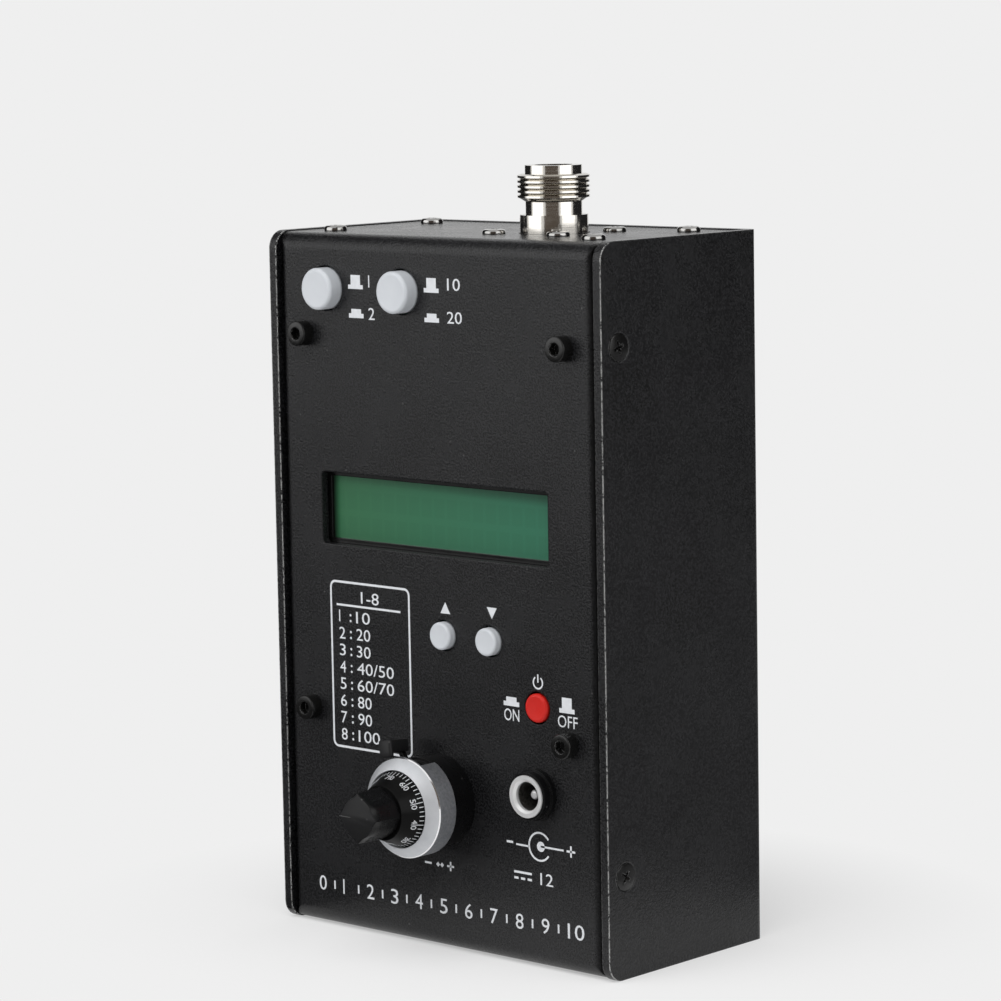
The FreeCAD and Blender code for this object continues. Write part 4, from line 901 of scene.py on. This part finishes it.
def printed_text(words, height, width=None):
    """Flat lettering in the XZ plane, its lower left corner at the origin, facing the user.
    A lone 1 is a single stroke, so it keeps its own width."""
    bpy.ops.object.text_add(rotation=(math.pi / 2, 0, 0))
    label = bpy.context.object
    label.data.body = words
    label.data.size = 0.01
    label.data.resolution_u = 3
    label.data.extrude = 0.5
    only(label)
    bpy.ops.object.convert(target="MESH")
    label = placed("text")
    low, high = (Vector([end(vertex.co[i] for vertex in label.data.vertices) for i in range(3)])
                 for end in (min, max))
    scale_z = height / (high.z - low.z)
    scale_x = width / (high.x - low.x) if width and words != "1" else scale_z * letter_share
    resize = Matrix.Diagonal((scale_x, film / (high.y - low.y), scale_z, 1))
    return moved(label, resize @ Matrix.Translation(-low - Vector((0, high.y - low.y, 0))))


def printed_bar(width, height):
    """A flat bar in the XZ plane with its lower left corner at the origin."""
    return block("bar", (width, film, height), (width / 2, -film / 2, height / 2))


# %% Put the scale on the cone
def cone_matrix(turn):
    """Carry a flat mark to the cone's lip; turn is in degrees, clockwise from the top."""
    lean = Matrix.Rotation(cone_lean - math.pi / 2, 4, "X")
    about = Matrix.Translation(cone_foot) @ Matrix.Rotation(math.radians(turn), 4, "Y")
    return about @ shift(0, -cone_lip, cone_edge) @ lean


long_tick = 2.9 * mm
short_tick = 1.1 * mm
tick_width = 0.16 * mm
digit_height = 1.3 * mm
digit_width = 0.85 * mm
digit_slide = 2.9 * mm
digit_gap = 0.25 * mm
tick_inset = 0.05 * mm
first_number = 70
first_angle = -0.4
marks = []
for i in range(50):
    length = long_tick if i % 5 == 0 else short_tick
    tick = moved(printed_bar(tick_width, length), shift(-tick_width / 2, 0, -length - tick_inset))
    marks.append(moved(tick, cone_matrix(first_angle + 7.2 * i)))
for i in range(10):
    number = (first_number - 10 * i) % 100
    for digit, start in ((number // 10, -digit_gap - digit_width), (number % 10, digit_gap)):
        figure = moved(printed_text(str(digit), digit_height, digit_width), shift(start, 0, -digit_slide))
        marks.append(moved(figure, cone_matrix(first_angle + 36 * i)))
dial_marks = finished(joined("dial_scale_marks", marks), "tuner", "white_plastic", look="white_ink")
print("marks on the scale:", len(marks), "faces:", len(dial_marks.data.polygons))

# %% [markdown]
# ### The knob
# Four fins stand on a round core. The face is drawn first: a circle whose four outermost points are
# pulled out with sharp proportional editing, so that each fin rises in a curve to a crest. The face
# outline is then bridged to the circle at the knob's foot. Bridging makes the sides in one step and
# lets the fins melt into the foot, as they must to leave the mould.

# %% Model the knob
knob_depth, foot_radius, knob_foot = dial_sizes(*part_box("tuning_knob"))
knob_skirt = 0.9 * mm
core_radius = 4.45 * mm
fin_radius = 5.45 * mm
fin_reach = 1.9 * mm
rim = 0.18 * mm

bpy.ops.mesh.primitive_circle_add(vertices=96, radius=core_radius, location=(0, 0, knob_depth - rim))
knob = placed("tuning_knob_moulded")
edit(knob)
pick(knob, "VERT", lambda corner: min(abs(corner.co.x), abs(corner.co.y)) < 1e-6)
resize_at(knob_depth - rim, fin_radius / core_radius, use_proportional_edit=True,
          proportional_edit_falloff="SHARP", proportional_size=fin_reach)
bpy.ops.mesh.primitive_circle_add(vertices=96, radius=foot_radius, location=(0, 0, knob_skirt))
pick_all()
bpy.ops.mesh.bridge_edge_loops(number_cuts=7, interpolation="LINEAR")
pick(knob, "EDGE", lambda line: all(corner.co.z > knob_depth - 1.1 * rim for corner in line.verts))
for share, level, factor in ((0.6, knob_depth - 0.4 * rim, 0.985), (0.4, knob_depth, 0.965)):
    raise_edges(share * rim)
    resize_at(level, factor)
bpy.ops.mesh.edge_face_add()
pick(knob, "EDGE", lambda line: all(corner.co.z < knob_skirt + 0.01 * mm for corner in line.verts))
raise_edges(-knob_skirt)
bpy.ops.mesh.edge_face_add()
leave_outward()
finished(moved(knob, turned_to("front", knob_foot)), "tuner", "black_plastic", "tuning_knob", angle=28)
knob.data.materials.append(finishes["matte_black_plastic"])
for face in knob.data.polygons:
    face.material_index = 1 if face.normal.y < -0.9 else 0
index_length = 3.2 * mm
index_width = 0.14 * mm
index_start = -5.3 * mm
index_line = printed_bar(index_length, index_width)
moved(index_line, Matrix.Translation(knob_foot) @ shift(index_start, -knob_depth, -index_width / 2))
index_line.name = "knob_index_line"
finished(index_line, "tuner", "white_plastic", look="worn_ink")
print("knob faces:", len(knob.data.polygons), "depth:", round(knob_depth / mm, 2), "mm")

# %% [markdown]
# ### The lever's tab
# The lock lever ends in a moulded tab for the finger. It is a small block that reaches forward over
# the ring and rises a little, with a lip that hangs from its front for the finger to catch. The edge
# that meets the thumb is well rounded and the others are only broken. A bisect marks off the lip, an
# extrusion pulls it down, and two bevels round one edge and then all the rest.

# %% Model the tab
low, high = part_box("lock_lever_cap")
tab_width = 3.3 * mm
tab_depth = 5.8 * mm
tab_height = 2.65 * mm
tab_lean = math.radians(-12)
tab_rise = math.radians(-6)
tab_lift = 0.78 * mm
lip_depth = 1.1 * mm
lip_drop = 1.1 * mm
tab_middle = Vector(((low.x + high.x) / 2 - 0.1 * mm, high.y - tab_depth / 2,
                     (low.z + high.z) / 2 + tab_lift))

tab = block("lock_lever_tab", (tab_width, tab_depth, tab_height))
edit(tab)
lip_back = -tab_depth / 2 + lip_depth
pick_all()
bpy.ops.mesh.bisect(plane_co=(0, lip_back, 0), plane_no=(0, 1, 0))
pick(tab, "FACE", lambda face: face.normal.z < -0.9 and face.calc_center_median().y < lip_back)
bpy.ops.mesh.extrude_region_move(TRANSFORM_OT_translate={"value": (0, 0, -lip_drop)})
pick(tab, "EDGE", lambda line: all(corner.co.x > 0 and corner.co.y < lip_back - 0.1 * mm
                                   for corner in line.verts))
bpy.ops.mesh.bevel(offset=0.7 * mm, segments=4)
pick(tab, "EDGE", lambda line: line.calc_face_angle(0) > math.radians(60))
bpy.ops.mesh.bevel(offset=0.18 * mm, segments=2)
object_mode()
tab_turn = Matrix.Rotation(tab_lean, 4, "Y") @ Matrix.Rotation(tab_rise, 4, "X")
moved(tab, Matrix.Translation(tab_middle) @ tab_turn)
finished(tab, "lock", "black_plastic", "lock_lever_cap", look="matte_black_plastic")
print("tab faces:", len(tab.data.polygons))

# %% [markdown]
# ### The turns counter
# Behind the window a ring turns a tenth as fast as the knob, with a figure for each whole turn on its
# rim. The ring itself is plain, so its solid from the frame is kept, and only the figures are added.

# %% Figures on the counter
low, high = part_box("turns_counter")
counter_radius = (high.x - low.x) / 2
counter_middle = Vector((dial_centre.x, (low.y + high.y) / 2, dial_centre.z))
turns_at_rest = 5.73
figure_width = 1.1 * mm
figure_height = 1.7 * mm
figures = []
for i in range(10):
    figure = moved(printed_text(str(i), figure_height, figure_width),
                   shift(-figure_width / 2, 0, -figure_height / 2))
    turn = math.radians(36 * (turns_at_rest - i))
    figures.append(moved(figure, Matrix.Translation(counter_middle) @ Matrix.Rotation(turn, 4, "Y")
                         @ shift(0, 0, counter_radius) @ Matrix.Rotation(-math.pi / 2, 4, "X")))
finished(joined("counter_figures", figures), "counter", "white_plastic")
print("figures on the counter:", len(figures))

# %% [markdown]
# ## Printed marks
# The panel's marks are screen printed: flat white ink, a few hundredths of a millimetre thick. A flat
# outline is given that thickness with a Solidify modifier. The pictograms say what a latching button
# does: a tall block on its base for out, a flat block for in. Every sign here is a plain one that any
# instrument could carry: numbers, arrows, ON and OFF, the power sign and the inlet's polarity.

# %% Shapes of ink
panel_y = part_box("front_shell")[0].y
flat = (math.pi / 2, 0, 0)


def inked(piece):
    """Give a flat outline, facing the user, the thickness of a layer of ink."""
    thicken = piece.modifiers.new("ink", "SOLIDIFY")
    thicken.thickness = film
    thicken.offset = 1.0
    only(piece)
    bpy.ops.object.modifier_apply(modifier="ink")
    return piece


def lay(piece, x, z):
    """Lay a mark on the panel, x and z in millimetres."""
    return moved(piece, shift(x * mm, panel_y, z * mm))


def bar(x0, x1, z0, z1):
    return lay(printed_bar((x1 - x0) * mm, (z1 - z0) * mm), x0, z0)


def words(text, x0, x1, z0, z1):
    """Lettering fitted into a box given in millimetres."""
    return lay(printed_text(text, (z1 - z0) * mm, (x1 - x0) * mm), x0, z0)


def open_ring(x, z, radius, width, gap_middle, gap_half):
    """A ring of ink, with a gap about one direction; angles in degrees from the right."""
    bpy.ops.mesh.primitive_circle_add(vertices=72, radius=radius * mm, rotation=flat)
    ring = placed("ring")
    edit(ring)
    middle = Vector((math.cos(math.radians(gap_middle)), 0, math.sin(math.radians(gap_middle))))
    pick(ring, "VERT", lambda corner: corner.co.angle(middle) < math.radians(gap_half))
    bpy.ops.mesh.delete(type="VERT")
    pick_all()
    bpy.ops.mesh.extrude_edges_move()
    factor = (radius - width) / radius
    bpy.ops.transform.resize(value=(factor, 1, factor), center_override=(0, 0, 0))
    leave_outward()
    if ring.data.polygons[0].normal.y > 0:
        ring.data.flip_normals()
    return lay(inked(ring), x, z)


def dot(x, z, radius, corners=32, turn=0.0):
    """A filled round mark; three corners make an arrow head."""
    bpy.ops.mesh.primitive_circle_add(vertices=corners, radius=radius * mm, fill_type="NGON",
                                      rotation=(math.pi / 2, turn, 0))
    return lay(inked(placed("dot")), x, z)


def rounded_frame(x0, x1, z0, z1, corner, width):
    """The outline of a table with rounded corners."""
    bpy.ops.mesh.primitive_plane_add(size=1, rotation=flat,
                                     location=((x1 - x0) / 2 * mm, 0, (z1 - z0) / 2 * mm))
    bpy.context.object.scale = ((x1 - x0) * mm, (z1 - z0) * mm, 1)
    outline = placed("frame")
    edit(outline)
    pick_all()
    bpy.ops.mesh.bevel(offset=corner * mm, segments=8, affect="VERTICES")
    pick(outline, "FACE", lambda face: True)
    bpy.ops.mesh.inset(thickness=width * mm)
    bpy.ops.mesh.delete(type="FACE")
    object_mode()
    return lay(inked(outline), x0, z0)


def button_sign(x0, x1, z0, z1, side_share, base_share):
    """Pictogram of a button: a block on its base."""
    side = (x1 - x0) * side_share
    base = z0 + (z1 - z0) * base_share
    return [bar(x0, x1, z0, base), bar(x0 + side, x1 - side, base, z1)]


def out_sign(*box):
    """The button stands out: a tall block."""
    return button_sign(*box, 0.18, 0.30)


def in_sign(*box):
    """The button is pressed in: a flat block."""
    return button_sign(*box, 0.17, 0.50)


def print_piece(name, marks):
    piece = finished(joined(name, marks), "case", "white_plastic", look="white_ink")
    print(name + ":", len(marks), "marks,", len(piece.data.polygons), "faces")


# %% Marks beside the buttons
print_piece("mode_marks", [
    *out_sign(-24.39, -19.95, 142.33, 145.36), *in_sign(-24.30, -19.89, 136.07, 138.01),
    words("1", -18.3, -17.0, 142.80, 145.41), words("2", -18.41, -16.6, 135.83, 138.42),
    *out_sign(-1.88, 2.43, 142.34, 145.46), *in_sign(-1.84, 2.39, 136.04, 137.91),
    words("10", 4.9, 8.6, 142.95, 145.55), words("20", 4.71, 9.0, 135.98, 138.52)])
print_piece("step_marks", [dot(2.59, 74.6, 1.65, 3), dot(16.05, 75.5, 1.65, 3, math.pi)])
print_piece("power_marks", [
    open_ring(28.8, 61.6, 1.45, 0.34, 90, 32), bar(28.63, 28.97, 61.6, 63.35),
    *in_sign(19.01, 23.42, 55.79, 57.73), words("ON", 19.11, 23.39, 52.60, 55.20),
    *out_sign(34.65, 38.89, 55.95, 59.21), words("OFF", 34.22, 39.71, 52.84, 55.40)])

# %% Marks of the inlet, the dial and the foot of the panel
polarity = [bar(19.2, 21.04, 26.25, 26.75), bar(21.9, 25.6, 26.0, 26.4),
            open_ring(28.57, 26.5, 3.2, 0.42, 0, 32), dot(28.89, 26.54, 1.1),
            bar(28.9, 35.28, 26.38, 26.78), bar(36.11, 38.51, 26.35, 26.81), bar(37.08, 37.54, 25.38, 27.78)]
direct_current = [bar(21.2, 26.2, 20.0, 20.5)] + [bar(21.2 + 1.9 * i, 22.4 + 1.9 * i, 18.7, 19.2)
                                                  for i in range(3)]
print_piece("inlet_marks", polarity + direct_current + [words("12", 28.6, 32.2, 18.3, 20.9)])
print_piece("dial_marks", [bar(-4.9, -2.9, 18.4, 18.85), bar(1.7, 3.7, 18.4, 18.85),
                           bar(2.475, 2.925, 17.6, 19.65), dot(-1.0, 18.62, 0.55, 4),
                           dot(0.2, 18.62, 0.55, 4)])
foot_left = -37.4
foot_pitch = 7.35
starts = [foot_left + foot_pitch * i for i in range(11)]
one_digit = 2.2
two_digits = 4.6
figures = [words(str(i), x, x + (one_digit if i < 10 else two_digits), 7.9, 11.2)
           for i, x in enumerate(starts)]
ticks = [bar(x + 4.55, x + 5.0, 8.6, 10.5) for x in starts[:10]]
print_piece("foot_marks", figures + ticks)

# %% The table of ranges
row_pitch = 3.757
first_row = 69.1
letter_height = 2.6
digit_pitch = 2.3
entries = ("10", "20", "30", "40/50", "60/70", "80", "90", "100")
table = [rounded_frame(-32.0, -7.9, 41.0, 78.2, 1.6, 0.5), bar(-30.06, -10.74, 72.62, 73.08),
         words("1-8", -22.6, -17.2, 73.6, 76.2)]
for i, entry in enumerate(entries):
    foot = first_row - row_pitch * i
    head = foot + letter_height
    table.append(words(str(i + 1), -29.4, -27.6, foot, head))
    table += [dot(-25.9, foot + rise, 0.28, 12) for rise in (0.35, 1.65)]
    table.append(words(entry, -24.2, -24.2 + digit_pitch * len(entry) - 0.4, foot, head))
print_piece("range_table", table)

# %% [markdown]
# ## Floor, light and background
# The analyzer stands on a pale floor under large soft boxes. The background is the world's own pale
# grey, seen by the camera and by anything shiny, while a weaker even light fills the shadows. Near the
# object the floor is a real lit surface that takes its shadow. Further out it fades into the
# background's grey, so that no horizon shows. The top box gives light but is not mirrored in the
# object. Nothing of this is part of the object.

# %% World and floor
background = (0.863, 0.863, 0.863, 1.0)


def seen_directly(tree):
    """1 for what the camera, a mirror or glass sees, 0 for light that falls on a surface."""
    path = add_node(tree, "LightPath").outputs
    mirrored = maths(tree, "ADD", path["Is Glossy Ray"], path["Is Transmission Ray"])
    return maths(tree, "ADD", path["Is Camera Ray"], mirrored, clamp=True)


world = bpy.data.worlds.new("studio")
bpy.context.scene.world = world
world.use_nodes = True
tree = world.node_tree
tree.nodes.clear()
fill = add_node(tree, "Background", {"Color": (1.0, 1.0, 1.0, 1.0), "Strength": 0.36})
pale = add_node(tree, "Background", {"Color": background, "Strength": 1.0})
choice = add_node(tree, "MixShader", {0: seen_directly(tree), 1: fill.outputs[0], 2: pale.outputs[0]})
add_node(tree, "OutputWorld", {0: choice.outputs[0]})

bpy.ops.mesh.primitive_circle_add(vertices=96, radius=2.5, fill_type="NGON",
                                  location=(0, 0, cad_box[0].z))
floor = placed("floor")
tree, shader = new_finish("floor")
wire(tree, shader, Base_Color=(*grey(0.93), 1.0), Roughness=0.9, Specular_IOR_Level=0.1)
away = vector_maths(tree, "LENGTH", {0: object_place(tree)}, "Value")
fade = times(tree, ranged(tree, away, 0.45, 1.0, 0.045, 0.115), seen_directly(tree))
glow = add_node(tree, "Emission", {"Color": background, "Strength": 1.0})
mixed = add_node(tree, "MixShader", {0: fade, 1: shader.outputs[0], 2: glow.outputs[0]})
wire(tree, tree.nodes["Material Output"], Surface=mixed.outputs[0])
floor.data.materials.append(finishes["floor"])

# %% Soft boxes
middle = Vector((0, 0, 0.08))


def stand(azimuth, height, distance):
    """A place round the object; azimuth 0 is straight before the panel."""
    turn = math.radians(azimuth)
    return Vector((math.sin(turn) * distance, -math.cos(turn) * distance, height))


def soft_box(name, azimuth, height, distance, width, tall, radiance):
    """A large area lamp that looks at the object. Its power gives the surface this radiance."""
    place = stand(azimuth, height, distance)
    bpy.ops.object.light_add(type="AREA", location=place)
    lamp = bpy.context.object
    lamp.name = name
    lamp.rotation_euler = (place - middle).to_track_quat("Z", "Y").to_euler()
    lamp.data.shape = "RECTANGLE"
    lamp.data.size = width
    lamp.data.size_y = tall
    lamp.data.energy = radiance * math.pi * width * tall
    lamp.visible_camera = False
    return lamp


soft_box("left_soft_box", -28, 0.55, 1.2, 1.35, 1.1, 1.15)
soft_box("right_soft_box", 92, 0.55, 1.2, 1.2, 1.1, 1.15)
soft_box("top_soft_box", 15, 1.25, 0.75, 1.3, 1.0, 3.0).visible_glossy = False

# %% [markdown]
# ### Cards for the metal
# Bright metal shows its surroundings and nothing else. Between the soft boxes a studio has darker
# things, and without them nickel looks like white plastic. Upright cards, which only reflections can
# see, give the socket and the screws their dark bands. Two more lie on the floor, where the panel and
# the side plate would mirror the pale floor: they keep the black coat black.

# %% Stand the cards up
def card(name, azimuth, distance, width, tall, tone, lying=False):
    bpy.ops.mesh.primitive_plane_add(size=1, location=(0, 0, 0))
    bpy.context.object.scale = (width, tall, 1)
    bpy.context.object.rotation_euler = (0 if lying else math.pi / 2, 0, math.radians(azimuth))
    bpy.context.object.location = stand(azimuth, 0.002 if lying else tall / 2, distance)
    piece = placed(name)
    tree = new_finish(name)[0]
    tree.nodes.clear()
    glow = add_node(tree, "Emission", {"Color": (*tone, 1.0), "Strength": 1.0})
    add_node(tree, "OutputMaterial", {0: glow.outputs[0]})
    piece.data.materials.append(finishes[name])
    for kind in ("camera", "diffuse", "transmission", "shadow", "volume_scatter"):
        setattr(piece, "visible_" + kind, False)


near_black = (0.02, 0.02, 0.021)
card("front_card", 34.5, 1.3, 1.30, 1.2, (0.12, 0.10, 0.085))
card("right_back_card", 158, 0.85, 1.15, 0.9, near_black)
card("left_card", -90, 1.0, 1.1, 1.6, near_black)
card("front_flag", -42, 0.50, 0.9, 0.90, (0.06, 0.06, 0.062), lying=True)
card("side_flag", 137, 0.45, 0.8, 0.75, (0.30, 0.30, 0.305), lying=True)
bpy.context.scene.view_settings.view_transform = "Standard"

# %% [markdown]
# ## Sizes, and done
# The box round the solids is printed. The drawn pieces may not make the object larger than its
# solids.

# %% Print the size of the solids
print("solids:", [[round(v / mm, 2) for v in corner] for corner in cad_box])
